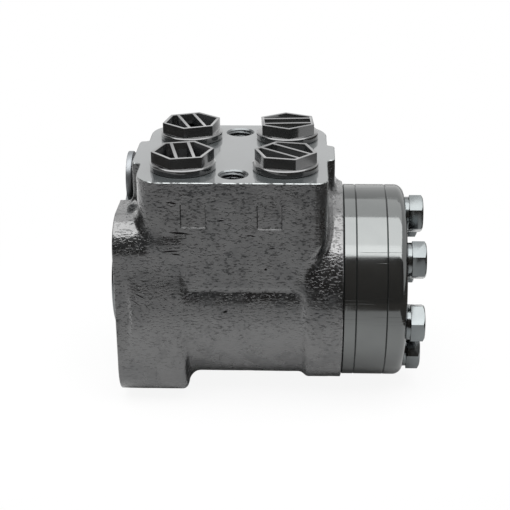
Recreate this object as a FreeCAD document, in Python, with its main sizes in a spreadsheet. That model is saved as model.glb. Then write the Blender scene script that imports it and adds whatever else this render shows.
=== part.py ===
import FreeCAD, Part
import math
import os
import re
import Sketcher

# Orbital steering unit: a cast housing with four ports on top, a rotary valve inside,
# and an orbiting gear set bolted to its rear end.
# Millimetres. X runs along the shaft from the mounting face to the gear end, Z is up,
# and the origin is the centre of the mounting face.

doc = FreeCAD.newDocument("orbital_steering_unit")
dim = doc.addObject("Spreadsheet::Sheet", "dim")

SIZES = [
    # Mounting flange
    ("flange_side", 82.0, "square mounting flange, side"),
    ("flange_corner", 15.0, "corner radius of the flange"),
    ("flange_thick", 29.4, "flange thickness along the shaft"),
    ("flange_edge", 1.0, "cast edge round at the back of the flange"),
    ("mount_circle_rad", 41.25, "radius of the mounting bolt circle"),
    ("mount_hole_rad", 4.25, "tapping radius of the mounting holes"),
    ("mount_hole_deep", 17.0, "depth of the mounting holes"),
    # Barrel and rear flange of the casting
    ("housing_long", 96.1, "mounting face to rear face"),
    ("rear_rad", 44.0, "rear flange of the casting"),
    ("barrel_step", 2.1, "how far the rear flange stands out of the barrel"),
    ("rear_flange_wide", 15.9, "rear flange of the casting, along the shaft"),
    ("barrel_fillet", 4.5, "cast fillets at both ends of the barrel"),
    ("edge_bevel", 0.7, "bevel on turned edges"),
    # Port block
    ("block_front", 10.0, "front wall of the port block"),
    ("block_ledge", 6.8, "from the rear wall of the port block to the rear face"),
    ("block_depth", 81.2, "port block, side to side"),
    ("block_top", 59.2, "height of the machined port face"),
    ("block_low", 4.0, "where the block sinks into the barrel"),
    ("block_toe_start", 22.0, "height where the rear wall starts to lean out"),
    ("block_toe_end", 30.0, "height where the rear wall is upright"),
    ("corner_front_near", 11.0, "block corner"),
    ("corner_front_far", 13.0, "block corner"),
    ("corner_rear_near", 5.0, "block corner"),
    ("corner_rear_far", 16.0, "block corner"),
    ("valve_pad_proud", 3.9, "pad of the relief valve ahead of the block"),
    ("valve_pad_wide", 31.0, "width of that pad"),
    ("rear_rib_proud", 3.3, "rib behind the block"),
    ("rear_rib_wide", 20.0, "width of that rib"),
    ("rib_round", 2.0, "edge round of pad and rib"),
    # Ports and bracket holes
    ("port_centre", 50.2, "centre of the port pattern along the shaft"),
    ("port_pitch_long", 42.9, "port spacing along the shaft"),
    ("port_pitch_wide", 43.2, "port spacing across"),
    ("port_rad", 9.3, "thread core of the ports"),
    ("port_deep", 16.0, "depth of the ports"),
    ("port_bevel", 1.2, "lead-in of the ports"),
    ("passage_rad", 3.0, "passage from a port to the valve bore"),
    ("passage_across", 15.5, "passage centre across from the shaft axis"),
    ("bracket_hole_pitch", 59.0, "two bracket holes between the ports"),
    ("bracket_hole_rad", 4.25, "tapping radius"),
    ("bracket_hole_deep", 18.0, "depth"),
    ("bracket_hole_bevel", 1.95, "lead-in"),
    # Port plugs
    ("plug_disc_rad", 13.75, "sealing disc of a port plug"),
    ("plug_disc_thick", 3.3, "its thickness"),
    ("plug_hex_rad", 13.23, "hexagon across corners, half"),
    ("plug_hex_tall", 4.6, "hexagon height above the disc"),
    ("plug_wall", 1.3, "wall of the hollow hexagon"),
    ("plug_rib_thick", 1.3, "ribs across the hollow"),
    ("plug_rib_pitch", 7.2, "distance between the two ribs"),
    ("plug_stem_long", 9.0, "stem inside the port"),
    ("plug_play", 0.1, "radial play of the stem"),
    ("plug_edge", 0.5, "broken edges of the disc"),
    # Valve bore and front end
    ("bore_rad", 19.05, "bore that the sleeve turns in"),
    ("retainer_rad", 22.0, "seal retainer at the front"),
    ("retainer_proud", 4.2, "how far the retainer stands out"),
    ("retainer_seat", 3.0, "depth of its seat"),
    ("retainer_seat_rad", 23.0, "the part of it inside the seat"),
    ("retainer_hole_rad", 15.2, "hole in the retainer"),
    ("retainer_lip", 1.0, "front lip of the retainer"),
    ("fit_play", 0.03, "radial play of fixed round parts"),
    ("seal_rad", 17.0, "outside of the shaft seal"),
    ("seal_back", 7.3, "shoulder that the thrust bearing rests on"),
    ("seal_gap", 0.3, "free gap between seal lips and spool"),
    ("dust_long", 3.0, "dust seal along the shaft"),
    ("dust_lip", 0.8, "its lip"),
    ("dust_hollow", 1.0, "hollow behind its lip"),
    ("seal_lip", 1.2, "lip of the shaft seal"),
    ("seal_hollow", 0.8, "hollow round its lip"),
    ("race_thick", 1.5, "thrust race"),
    ("race_bore_rad", 13.0, "inside of the thrust races"),
    ("race_rad", 18.6, "outside of the thrust races"),
    ("needle_rad", 1.0, "thrust needles"),
    ("needle_count", 16.0, "number of needles"),
    ("needle_long", 3.6, "needle length"),
    ("needle_play", 0.03, "play round each needle"),
    ("cage_thick", 1.2, "needle cage"),
    ("cage_inset", 0.3, "cage inside the outline of the races"),
    # Sleeve and spool
    ("sleeve_play", 0.05, "radial running play of the sleeve"),
    ("spool_rad", 14.0, "spool"),
    ("spool_play", 0.04, "radial running play of the spool"),
    ("end_play", 0.4, "axial play of the rotating group"),
    ("nose_rad", 12.4, "spool nose in the seals"),
    ("nose_front", -3.4, "front end of the spool"),
    ("input_bore_rad", 8.9, "plain lead-in bore of the input socket"),
    ("input_lead", 7.4, "length of the lead-in"),
    ("input_deep", 17.0, "depth of the splined socket"),
    ("input_spline_rad", 8.6, "root of the input splines"),
    ("input_core_rad", 7.5, "tip of the input splines"),
    ("input_teeth", 12.0, "input splines"),
    ("input_wall", 2.0, "wall behind the input socket"),
    ("socket_foot_share", 0.9, "spline gaps: width at the foot, share of the pitch"),
    ("socket_tip_share", 0.4, "and at the tip"),
    ("link_bore_rad", 10.2, "bore of the spool round the drive link"),
    ("link_bore_front", 28.0, "front end of that bore"),
    ("spring_place", 20.0, "middle of the centring springs"),
    ("spring_wide", 7.0, "centring springs, width along the shaft"),
    ("spring_leaf", 0.6, "leaf thickness"),
    ("spring_leaves", 4.0, "leaves in the pack"),
    ("spring_slot_play", 0.3, "play of the pack in the sleeve slots"),
    ("spring_ring_thick", 0.9, "ring round the springs"),
    ("spool_swing", 8.0, "lead of the spool over the sleeve, degrees each way"),
    ("pin_place", 35.0, "cross pin along the shaft"),
    ("pin_rad", 4.0, "cross pin"),
    ("oil_hole_rad", 1.5, "holes through the sleeve"),
    ("oil_holes", 12.0, "holes in a row"),
    ("oil_row_pitch", 16.0, "spacing of the rows, the last under the rear ports"),
    ("oil_rows", 2.0, "rows of holes"),
    ("oil_groove_deep", 0.8, "ring grooves of the sleeve"),
    ("oil_groove_wide", 4.0, "their width"),
    ("spool_groove_wide", 2.6, "long grooves of the spool"),
    ("spool_groove_deep", 1.2, "their depth"),
    ("spool_grooves", 6.0, "their number"),
    # Gear set
    ("plate_thick", 5.6, "spacer plate"),
    ("gear_wide", 13.0, "gear set width"),
    ("cover_thick", 8.5, "end cover"),
    ("gear_rad", 42.5, "outside of plate, ring and cover"),
    ("cover_round", 4.0, "outer edge of the cover"),
    ("lobes", 7.0, "lobes of the gear ring"),
    ("lobe_circle", 26.9, "radius of the lobe centres"),
    ("lobe_rad", 6.0, "lobe radius"),
    ("orbit_rad", 3.4, "orbit of the rotor centre"),
    ("gear_play", 0.06, "running play between lobes and rotor"),
    ("pocket_play", 0.2, "play of the rotor tips in the pockets"),
    ("face_play", 0.02, "axial play of the rotor each side"),
    ("plate_hole_rad", 11.5, "hole of the spacer plate"),
    ("feed_hole_rad", 2.0, "oil holes to the gear chambers"),
    ("feed_circle", 22.5, "radius of their circle"),
    ("feed_deep", 8.0, "their depth in the housing"),
    ("rotor_root_rad", 10.9, "root of the rotor splines"),
    ("rotor_core_rad", 9.5, "tip of the rotor splines"),
    ("rotor_teeth", 12.0, "rotor splines"),
    ("rotor_arcs", 144.0, "arcs that make the outline of the rotor"),
    ("spline_play", 0.45, "radial play of the link head"),
    ("spacer_thick", 3.0, "disc behind the drive link"),
    # Drive link
    ("link_rad", 6.0, "shank of the drive link"),
    ("fork_rad", 8.8, "fork end"),
    ("fork_front", 29.3, "front end of the fork"),
    ("fork_back", 44.0, "back of the fork end"),
    ("fork_play", 0.45, "play of the cross pin in the fork"),
    ("link_taper", 3.0, "tapers of the shank"),
    ("head_gap", 0.8, "gap ahead of the link head"),
    ("head_core_rad", 8.75, "core of the link head"),
    ("head_crown_rad", 31.0, "crown of its teeth"),
    ("link_foot_share", 0.6, "its teeth: width at the foot, share of the pitch"),
    ("link_tip_share", 0.08, "and at the tip"),
    # Cover bolts
    ("bolt_circle_rad", 31.4, "bolt circle of the gear end"),
    ("bolt_rad", 4.0, "bolt shank"),
    ("bolt_play", 0.2, "play in plate, ring and cover"),
    ("thread_play", 0.05, "play in the tapped holes"),
    ("bolt_engage", 14.0, "bolt length in the housing"),
    ("head_flats", 15.0, "bolt head across flats"),
    ("head_tall", 6.0, "bolt head height"),
    ("head_bevel", 0.9, "crowned top of the head"),
    ("washer_thick", 2.0, "washer"),
    ("washer_rad", 7.4, "washer outside"),
    # O-rings
    ("oring_inset", 4.0, "O-ring centre circle, in from the outside of plate, ring and cover"),
    ("oring_rad", 0.75, "O-ring section"),
    ("oring_groove_wide", 2.2, "groove width"),
    ("oring_groove_deep", 1.5, "groove depth"),
    ("oring_sides", 8.0, "sides of the squeezed section"),
    # Relief valve
    ("valve_high", 48.0, "height of the relief valve axis"),
    ("valve_plug_rad", 11.0, "relief valve plug"),
    ("valve_plug_thick", 2.4, "its head"),
    ("valve_seal_thick", 1.0, "seal under the head"),
    ("valve_seal_rad", 10.4, "seal outside"),
    ("valve_spot_rad", 13.0, "spot face round the plug"),
    ("valve_socket_rad", 5.0, "hexagon socket, half across corners"),
    ("valve_socket_deep", 5.0, "socket depth"),
    ("valve_thread_rad", 7.0, "plug thread"),
    ("valve_thread_long", 9.0, "plug thread length"),
    ("valve_bore_rad", 5.0, "bore of the valve"),
    ("valve_bore_end", 41.0, "seat of the valve"),
    ("valve_screw_long", 5.0, "setting screw"),
    ("valve_screw_gap", 1.0, "gap between plug and setting screw"),
    ("valve_spring_rad", 3.4, "spring, mean radius"),
    ("valve_wire_rad", 0.6, "spring wire"),
    ("valve_spring_turns", 5.0, "spring turns"),
    ("valve_wire_sides", 8.0, "sides of the wire section"),
    ("poppet_long", 7.0, "valve cone, whole length"),
    ("poppet_taper", 2.8, "its tapered end"),
    ("poppet_play", 0.06, "play of the cone in its bore"),
    ("valve_seat_rad", 2.5, "seat hole"),
    # Check valve
    ("check_flange_thick", 2.0, "flange of the check valve bush"),
    ("check_stem_rad", 6.0, "stem of the bush"),
    ("check_stem_long", 4.0, "length of the stem"),
    ("check_hole_rad", 2.6, "hole through the bush"),
    ("check_seat_rad", 4.0, "wide end of the ball seat"),
    ("check_seat_deep", 2.1, "depth of the ball seat"),
    ("ball_rad", 4.2, "check ball"),
    ("ball_play", 0.3, "play round the ball"),
    ("ball_lift", 2.0, "travel of the ball"),
    # Tools
    ("over", 1.0, "how far a cutting tool reaches past a face"),
]
NAMES = {name for name, number, note in SIZES}
for row, (name, number, note) in enumerate(SIZES, 1):
    dim.set(f"A{row}", note)
    dim.set(f"B{row}", str(number))
    dim.setAlias(f"B{row}", name)
doc.recompute()

# Half the angle between two corners of a hexagon, in degrees.
HEXAGON_HALF = 30.0

# Turns of the seven bolt heads, of the four port plugs (their ribs) and of the valve plug, in degrees.
HEAD_TURNS = (0.0, 0.0, 11.0, 25.0, 30.0, 7.0, 23.0)
RIB_TURNS = {"port_plug_t": 101.9, "port_plug_p": 139.0, "port_plug_l": 109.4, "port_plug_r": 4.1}


# Helpers

def bind(words):
    """Expression in which each size name is read from the sheet."""
    return re.sub(r"[a-z_]+", lambda m: "dim." + m[0] if m[0] in NAMES else m[0], str(words))


def value(words):
    """Number that an expression of sizes gives now."""
    return float(dim.evalExpression(bind(words)))


def tie(thing, prop, words):
    """Set a property to an expression of sizes."""
    thing.setExpression(prop, bind(words))


def tie_place(thing, place):
    """Bind the position of an object to three expressions."""
    for letter, words in zip("xyz", place):
        tie(thing, "Placement.Base." + letter, words)


def turn_about(axis, degrees):
    """Rotation about one of the main axes."""
    return FreeCAD.Rotation(FreeCAD.Vector(*axis), degrees)


ALONG = {"X": turn_about((0, 1, 0), 90), "Y": turn_about((1, 0, 0), -90), "Z": FreeCAD.Rotation()}


def rod(name, place, long, rad, along="X"):
    """Cylinder from a start point along one main axis."""
    part = doc.addObject("Part::Cylinder", name)
    part.Placement = FreeCAD.Placement(FreeCAD.Vector(), ALONG[along])
    tie(part, "Radius", rad)
    tie(part, "Height", long)
    tie_place(part, place)
    return part


def bevel_cone(name, place, long, rad_start, rad_end, along="X"):
    """Cone from a start point along one main axis."""
    part = doc.addObject("Part::Cone", name)
    part.Placement = FreeCAD.Placement(FreeCAD.Vector(), ALONG[along])
    tie(part, "Radius1", rad_start)
    tie(part, "Radius2", rad_end)
    tie(part, "Height", long)
    tie_place(part, place)
    return part


def block(name, low, spans):
    """Box from its low corner."""
    part = doc.addObject("Part::Box", name)
    for prop, words in zip(("Length", "Width", "Height"), spans):
        tie(part, prop, words)
    tie_place(part, low)
    return part


def prism(name, place, long, corner_rad, along="X", spin=0.0):
    """Hexagonal prism along one main axis, turned by an angle about it."""
    part = doc.addObject("Part::Prism", name)
    part.Polygon = 6
    turn = ALONG[along].multiply(turn_about((0, 0, 1), spin))
    part.Placement = FreeCAD.Placement(FreeCAD.Vector(), turn)
    tie(part, "Circumradius", corner_rad)
    tie(part, "Height", long)
    tie_place(part, place)
    return part


def fuse(name, parts):
    joined = doc.addObject("Part::MultiFuse", name)
    joined.Shapes = parts
    joined.Refine = True
    return joined


def cut(name, base, tools):
    tool = tools[0] if len(tools) == 1 else fuse(name + "_cutters", tools)
    left = doc.addObject("Part::Cut", name)
    left.Base = base
    left.Tool = tool
    left.Refine = True
    return left


def common(name, parts):
    shared = doc.addObject("Part::MultiCommon", name)
    shared.Shapes = parts
    return shared


def group(name, parts):
    """Several like solids kept as one node."""
    together = doc.addObject("Part::Compound", name)
    together.Links = parts
    return together


def plane_of(body, role):
    return next(item for item in body.Origin.OriginFeatures if item.Role == role)


def sketch_outline(body, plane, outline):
    """Closed outline on one of the body's planes. A corner is (across, up); a corner that an arc
    leads to is (across, up, radius, centre across, centre up). Every number is an expression."""
    sketch = body.newObject("Sketcher::SketchObject", body.Name + "_outline")
    sketch.AttachmentSupport = [(plane_of(body, plane), "")]
    sketch.MapMode = "FlatFace"
    spots = [FreeCAD.Vector(value(item[0]), value(item[1]), 0) for item in outline]
    count = len(outline)
    arcs = []
    for index in range(count):
        start = spots[index]
        end = spots[(index + 1) % count]
        target = outline[(index + 1) % count]
        if len(target) == 2:
            sketch.addGeometry(Part.LineSegment(start, end), False)
            continue
        centre = FreeCAD.Vector(value(target[3]), value(target[4]), 0)
        radius = value(target[2])
        from_centre = [math.atan2(spot.y - centre.y, spot.x - centre.x) for spot in (start, end)]
        anticlockwise = (start - centre).cross(end - centre).z > 0
        if not anticlockwise:
            from_centre.reverse()
        circle = Part.Circle(centre, FreeCAD.Vector(0, 0, 1), radius)
        sketch.addGeometry(Part.ArcOfCircle(circle, *from_centre), False)
        arcs.append((index, anticlockwise, target[2]))
    turned = {index: anticlockwise for index, anticlockwise, radius in arcs}

    def first_end(index):
        return 1 if turned.get(index, True) else 2

    def last_end(index):
        return 2 if turned.get(index, True) else 1

    for index in range(count):
        after = (index + 1) % count
        sketch.addConstraint(Sketcher.Constraint("Coincident", index, last_end(index), after, first_end(after)))
    for index, item in enumerate(outline):
        for kind, words, now in (("DistanceX", item[0], spots[index].x), ("DistanceY", item[1], spots[index].y)):
            place = sketch.addConstraint(Sketcher.Constraint(kind, -1, 1, index, first_end(index), now))
            tie(sketch, f"Constraints[{place}]", words)
    for index, anticlockwise, radius in arcs:
        place = sketch.addConstraint(Sketcher.Constraint("Radius", index, value(radius)))
        tie(sketch, f"Constraints[{place}]", radius)
    return sketch


def turned_part(name, outline):
    """Body of revolution about the shaft axis, from (along, radius) corners."""
    body = doc.addObject("PartDesign::Body", name)
    sketch = sketch_outline(body, "XZ_Plane", outline)
    spin = body.newObject("PartDesign::Revolution", name + "_turned")
    spin.Profile = sketch
    spin.ReferenceAxis = (sketch, ["H_Axis"])
    spin.Angle = 360.0
    return body


def padded_part(name, plane, outline, long, both_sides=False):
    """Body made by extruding an outline from its plane."""
    body = doc.addObject("PartDesign::Body", name)
    sketch = sketch_outline(body, plane, outline)
    pad = body.newObject("PartDesign::Pad", name + "_pad")
    pad.Profile = sketch
    pad.Midplane = both_sides
    tie(pad, "Length", long)
    doc.recompute()
    return body


def round_edges(body, radius, wanted):
    """Fillet every edge that the test picks."""
    doc.recompute()
    base = body.Tip
    picked = ["Edge%d" % (index + 1) for index, edge in enumerate(base.Shape.Edges) if wanted(edge)]
    soft = body.newObject("PartDesign::Fillet", f"{body.Name}_round_{len(body.Group)}")
    soft.Base = (base, picked)
    tie(soft, "Radius", radius)
    doc.recompute()


def runs(edge, axis):
    """True for a straight edge along an axis."""
    line = edge.Curve
    return hasattr(line, "Direction") and abs(getattr(line.Direction, axis)) > 0.999


def near(edge, **spots):
    """True if the middle of the edge lies at the given coordinates."""
    middle = edge.CenterOfMass
    return all(abs(getattr(middle, axis) - spot) < 0.01 for axis, spot in spots.items())


def ring(name, start, long, hole, rad):
    """Plain ring about the shaft axis."""
    return turned_part(name, [(start, hole), (f"{start} + {long}", hole), (f"{start} + {long}", rad), (start, rad)])


def round_places(count, circle, first=90.0):
    """Places on a circle about the shaft axis, as (y, z) expressions."""
    total = int(value(count))
    step = 360.0 / total
    return [(f"{circle} * cos({first + step * k})", f"{circle} * sin({first + step * k})") for k in range(total)]


def finished(part, label):
    part.Label = label
    nodes.append(part)
    return part


nodes = []

# Places along the shaft that several pieces share
PLATE = "housing_long"
BARREL = "(rear_rad - barrel_step)"
REAR_FLANGE = "(housing_long - rear_flange_wide)"
BLOCK_BACK = "(housing_long - block_ledge)"
ORING_CIRCLE = "(gear_rad - oring_inset)"
GEARS = "(housing_long + plate_thick)"
COVER = "(housing_long + plate_thick + gear_wide)"
OUTSIDE = "(housing_long + plate_thick + gear_wide + cover_thick)"
HEADS = "(housing_long + plate_thick + gear_wide + cover_thick + washer_thick)"
BEARING = "seal_back"
NEEDLES = "(seal_back + race_thick)"
SECOND_RACE = "(seal_back + race_thick + 2 * needle_rad + 2 * needle_play)"
VALVE_START = "(seal_back + 2 * race_thick + 2 * needle_rad + 3 * needle_play)"
VALVE_END = "(housing_long - end_play)"
SLEEVE_RAD = "(bore_rad - sleeve_play)"
PAD_FACE = "(block_front - valve_pad_proud)"
PORT_FLOOR = "(block_top - port_deep)"
BOLTS = round_places("lobes", "bolt_circle_rad")
ROTOR_HIGH = "orbit_rad"


# Housing casting

def casting():
    half = "flange_side / 2"
    flange = padded_part("flange_casting", "YZ_Plane", [
        (f"-{half}", f"-{half}"), (half, f"-{half}"), (half, half), (f"-{half}", half)], "flange_thick")
    round_edges(flange, "flange_corner", lambda edge: runs(edge, "x"))
    back = value("flange_thick")
    round_edges(flange, "flange_edge",
                lambda edge: abs(edge.BoundBox.XMin - back) + abs(edge.BoundBox.XMax - back) < 0.01)

    rise = "sqrt(barrel_fillet ^ 2 - (barrel_fillet - barrel_step) ^ 2)"
    barrel = turned_part("barrel_casting", [
        ("flange_thick", "0"),
        ("flange_thick", BARREL),
        (f"{REAR_FLANGE} - {rise}", BARREL),
        (REAR_FLANGE, "rear_rad", "barrel_fillet", f"{REAR_FLANGE} - {rise}", f"{BARREL} + barrel_fillet"),
        ("housing_long - edge_bevel", "rear_rad"),
        ("housing_long", "rear_rad - edge_bevel"),
        ("housing_long", "0")])
    flare = turned_part("flare_casting", [
        ("flange_thick - flange_edge", "0"),
        ("flange_thick - flange_edge", f"{BARREL} + barrel_fillet"),
        ("flange_thick", f"{BARREL} + barrel_fillet"),
        ("flange_thick + barrel_fillet", BARREL, "barrel_fillet",
         "flange_thick + barrel_fillet", f"{BARREL} + barrel_fillet"),
        ("flange_thick + barrel_fillet", "0")])
    inset = "(flange_side / 2 - flange_edge)"
    frame = padded_part("flare_limit", "YZ_Plane", [
        (f"-{inset}", f"-{inset}"), (inset, f"-{inset}"), (inset, inset), (f"-{inset}", inset)],
        "flange_thick + barrel_fillet")
    round_edges(frame, "flange_corner - flange_edge", lambda edge: runs(edge, "x"))
    blend = common("flare_blend", [flare, frame])

    ports = padded_part("port_block", "XZ_Plane", [
        ("block_front", "block_low"), (REAR_FLANGE, "block_low"), (REAR_FLANGE, "block_toe_start"),
        (BLOCK_BACK, "block_toe_end"), (BLOCK_BACK, "block_top"), ("block_front", "block_top")],
        "block_depth", both_sides=True)
    near_side = -value("block_depth / 2")
    for radius, along, side in (
            ("corner_front_near", value("block_front"), near_side),
            ("corner_front_far", value("block_front"), -near_side),
            ("corner_rear_near", value(BLOCK_BACK), near_side),
            ("corner_rear_far", value(BLOCK_BACK), -near_side)):
        round_edges(ports, radius, lambda edge: runs(edge, "z") and near(edge, x=along, y=side))

    pad = padded_part("valve_pad", "XY_Plane", [
        (PAD_FACE, "-valve_pad_wide / 2"), ("block_front + corner_front_near", "-valve_pad_wide / 2"),
        ("block_front + corner_front_near", "valve_pad_wide / 2"), (PAD_FACE, "valve_pad_wide / 2")], "block_top")
    pad_face = value(PAD_FACE)
    round_edges(pad, "rib_round", lambda edge: runs(edge, "z") and near(edge, x=pad_face))
    rib = padded_part("rear_rib", "XY_Plane", [
        (REAR_FLANGE, "-rear_rib_wide / 2"), (f"{BLOCK_BACK} + rear_rib_proud", "-rear_rib_wide / 2"),
        (f"{BLOCK_BACK} + rear_rib_proud", "rear_rib_wide / 2"), (REAR_FLANGE, "rear_rib_wide / 2")], "block_top")
    rib_face = value(f"{BLOCK_BACK} + rear_rib_proud")
    round_edges(rib, "rib_round", lambda edge: runs(edge, "z") and near(edge, x=rib_face))
    return fuse("casting", [flange, barrel, blend, ports, pad, rib])


def port_places():
    """The four ports: T and P on the near side, L and R behind them."""
    front = "port_centre - port_pitch_long / 2"
    rear = "port_centre + port_pitch_long / 2"
    side = "port_pitch_wide / 2"
    return {"t": (front, "-" + side), "p": (rear, "-" + side), "l": (front, side), "r": (rear, side)}


def bores():
    """Everything that is drilled, bored or faced in the casting."""
    tools = [
        rod("valve_bore", (BEARING, "0", "0"), "housing_long", "bore_rad"),
        rod("seal_bore", ("-over", "0", "0"), "seal_back + 2 * over", "seal_rad + fit_play"),
        rod("retainer_bore", ("-over", "0", "0"), "retainer_seat + over", "retainer_seat_rad + fit_play"),
        rod("relief_spot_face", ("-over", "0", "valve_high"), f"{PAD_FACE} + over", "valve_spot_rad"),
        rod("relief_thread", (f"{PAD_FACE} - over", "0", "valve_high"), "valve_thread_long + 2 * over",
            "valve_thread_rad + thread_play"),
        rod("relief_bore", (PAD_FACE, "0", "valve_high"), f"valve_bore_end - {PAD_FACE}", "valve_bore_rad"),
        rod("relief_seat", (PAD_FACE, "0", "valve_high"), "port_centre", "valve_seat_rad"),
    ]
    groove_in = f"{ORING_CIRCLE} - oring_groove_wide / 2"
    groove_out = f"{ORING_CIRCLE} + oring_groove_wide / 2"
    tools.append(ring("housing_groove", "housing_long - oring_groove_deep", "oring_groove_deep + over",
                      groove_in, groove_out))
    for index, (across, up) in enumerate(BOLTS):
        tools.append(rod(f"tapped_{index}", ("housing_long - bolt_engage - 2 * over", across, up),
                         "bolt_engage + 3 * over", "bolt_rad + thread_play"))
    for index, (across, up) in enumerate(round_places("lobes", "feed_circle", 90.0 + 180.0 / value("lobes"))):
        tools.append(rod(f"feed_{index}", ("housing_long - feed_deep", across, up), "feed_deep + over",
                         "feed_hole_rad"))
    for index, (across, up) in enumerate(round_places("4", "mount_circle_rad", 45.0)):
        tools.append(rod(f"mounting_hole_{index}", ("-over", across, up), "mount_hole_deep + over",
                         "mount_hole_rad"))
    for side in (-1, 1):
        across = f"{side} * bracket_hole_pitch / 2"
        tools.append(rod(f"bracket_hole_{side + 1}", ("port_centre", across, "block_top - bracket_hole_deep"),
                         "bracket_hole_deep + over", "bracket_hole_rad", "Z"))
        tools.append(bevel_cone(f"bracket_bevel_{side + 1}",
                                ("port_centre", across, "block_top - bracket_hole_bevel"), "bracket_hole_bevel",
                                "bracket_hole_rad", "bracket_hole_rad + bracket_hole_bevel", "Z"))
    for letter, (along, across) in port_places().items():
        inboard = "-passage_across" if letter in "tp" else "passage_across"
        tools.append(rod(f"port_{letter}", (along, across, PORT_FLOOR), "port_deep + over", "port_rad", "Z"))
        tools.append(bevel_cone(f"port_bevel_{letter}", (along, across, "block_top - port_bevel"), "port_bevel",
                                "port_rad", "port_rad + port_bevel", "Z"))
        tools.append(rod(f"passage_{letter}", (along, inboard, "0"), f"{PORT_FLOOR} + over", "passage_rad", "Z"))
    along, across = port_places()["p"]
    tools.append(rod("check_stem_bore", (along, across, f"{PORT_FLOOR} - check_stem_long"),
                     "check_stem_long + over", "check_stem_rad + fit_play", "Z"))
    tools.append(rod("ball_pocket", (along, across, f"{PORT_FLOOR} - check_stem_long - ball_lift - 2 * ball_rad"),
                     "ball_lift + 2 * ball_rad + over", "ball_rad + ball_play", "Z"))
    return tools


def housing():
    finished(cut("housing_machined", casting(), bores()), "housing")


# Port plugs

def port_plug(label, along, across, turn):
    """Moulded plug: stem in the port, sealing disc and hollow hexagon with two ribs."""
    axis = (along, across)
    stem = rod(label + "_stem", (*axis, "block_top - plug_stem_long"), "plug_stem_long + plug_disc_thick / 2",
               "port_rad - plug_play", "Z")
    disc = plug_disc(label + "_disc", axis)
    hexagon = prism(label + "_hexagon", (*axis, "block_top + plug_disc_thick / 2"),
                    "plug_hex_tall + plug_disc_thick / 2", "plug_hex_rad", "Z", turn + HEXAGON_HALF)
    hollow = prism(label + "_hollow", (*axis, "block_top + plug_wall"), "plug_hex_tall + plug_disc_thick",
                   f"plug_hex_rad - plug_wall / cos({HEXAGON_HALF})", "Z", turn + HEXAGON_HALF)
    ribs = [plug_rib(f"{label}_rib_{side + 1}", axis, side, turn) for side in (-1, 1)]
    shell = cut(label + "_shell", fuse(label + "_solid", [stem, disc, hexagon]), [hollow])
    finished(fuse(label + "_moulded", [shell] + ribs), label)


def plug_disc(name, axis):
    """Round sealing disc with broken edges."""
    inner = "(plug_disc_rad - plug_edge)"
    low = bevel_cone(name + "_low", (*axis, "block_top"), "plug_edge", inner, "plug_disc_rad", "Z")
    middle = rod(name + "_middle", (*axis, "block_top + plug_edge"), "plug_disc_thick - 2 * plug_edge",
                 "plug_disc_rad", "Z")
    high = bevel_cone(name + "_high", (*axis, "block_top + plug_disc_thick - plug_edge"), "plug_edge",
                      "plug_disc_rad", inner, "Z")
    return fuse(name, [low, middle, high])


def plug_rib(name, axis, side, turn):
    """One rib, from flat to flat across the hollow."""
    reach = "(plug_hex_rad * cos(30) - plug_wall / 2)"
    rib = doc.addObject("Part::Box", name)
    tie(rib, "Length", f"2 * {reach}")
    tie(rib, "Width", "plug_rib_thick")
    tie(rib, "Height", "plug_hex_tall + plug_disc_thick - plug_wall / 2")
    rib.Placement = FreeCAD.Placement(FreeCAD.Vector(), turn_about((0, 0, 1), turn))
    offset = f"({side} * plug_rib_pitch / 2 - plug_rib_thick / 2)"
    tie_place(rib, (f"{axis[0]} - {reach} * cos({turn}) - {offset} * sin({turn})",
                    f"{axis[1]} - {reach} * sin({turn}) + {offset} * cos({turn})",
                    "block_top + plug_wall / 2"))
    return rib


def port_plugs():
    for letter, (along, across) in port_places().items():
        label = "port_plug_" + letter
        port_plug(label, along, across, RIB_TURNS[label])


# Front end: seals and thrust bearing

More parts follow.
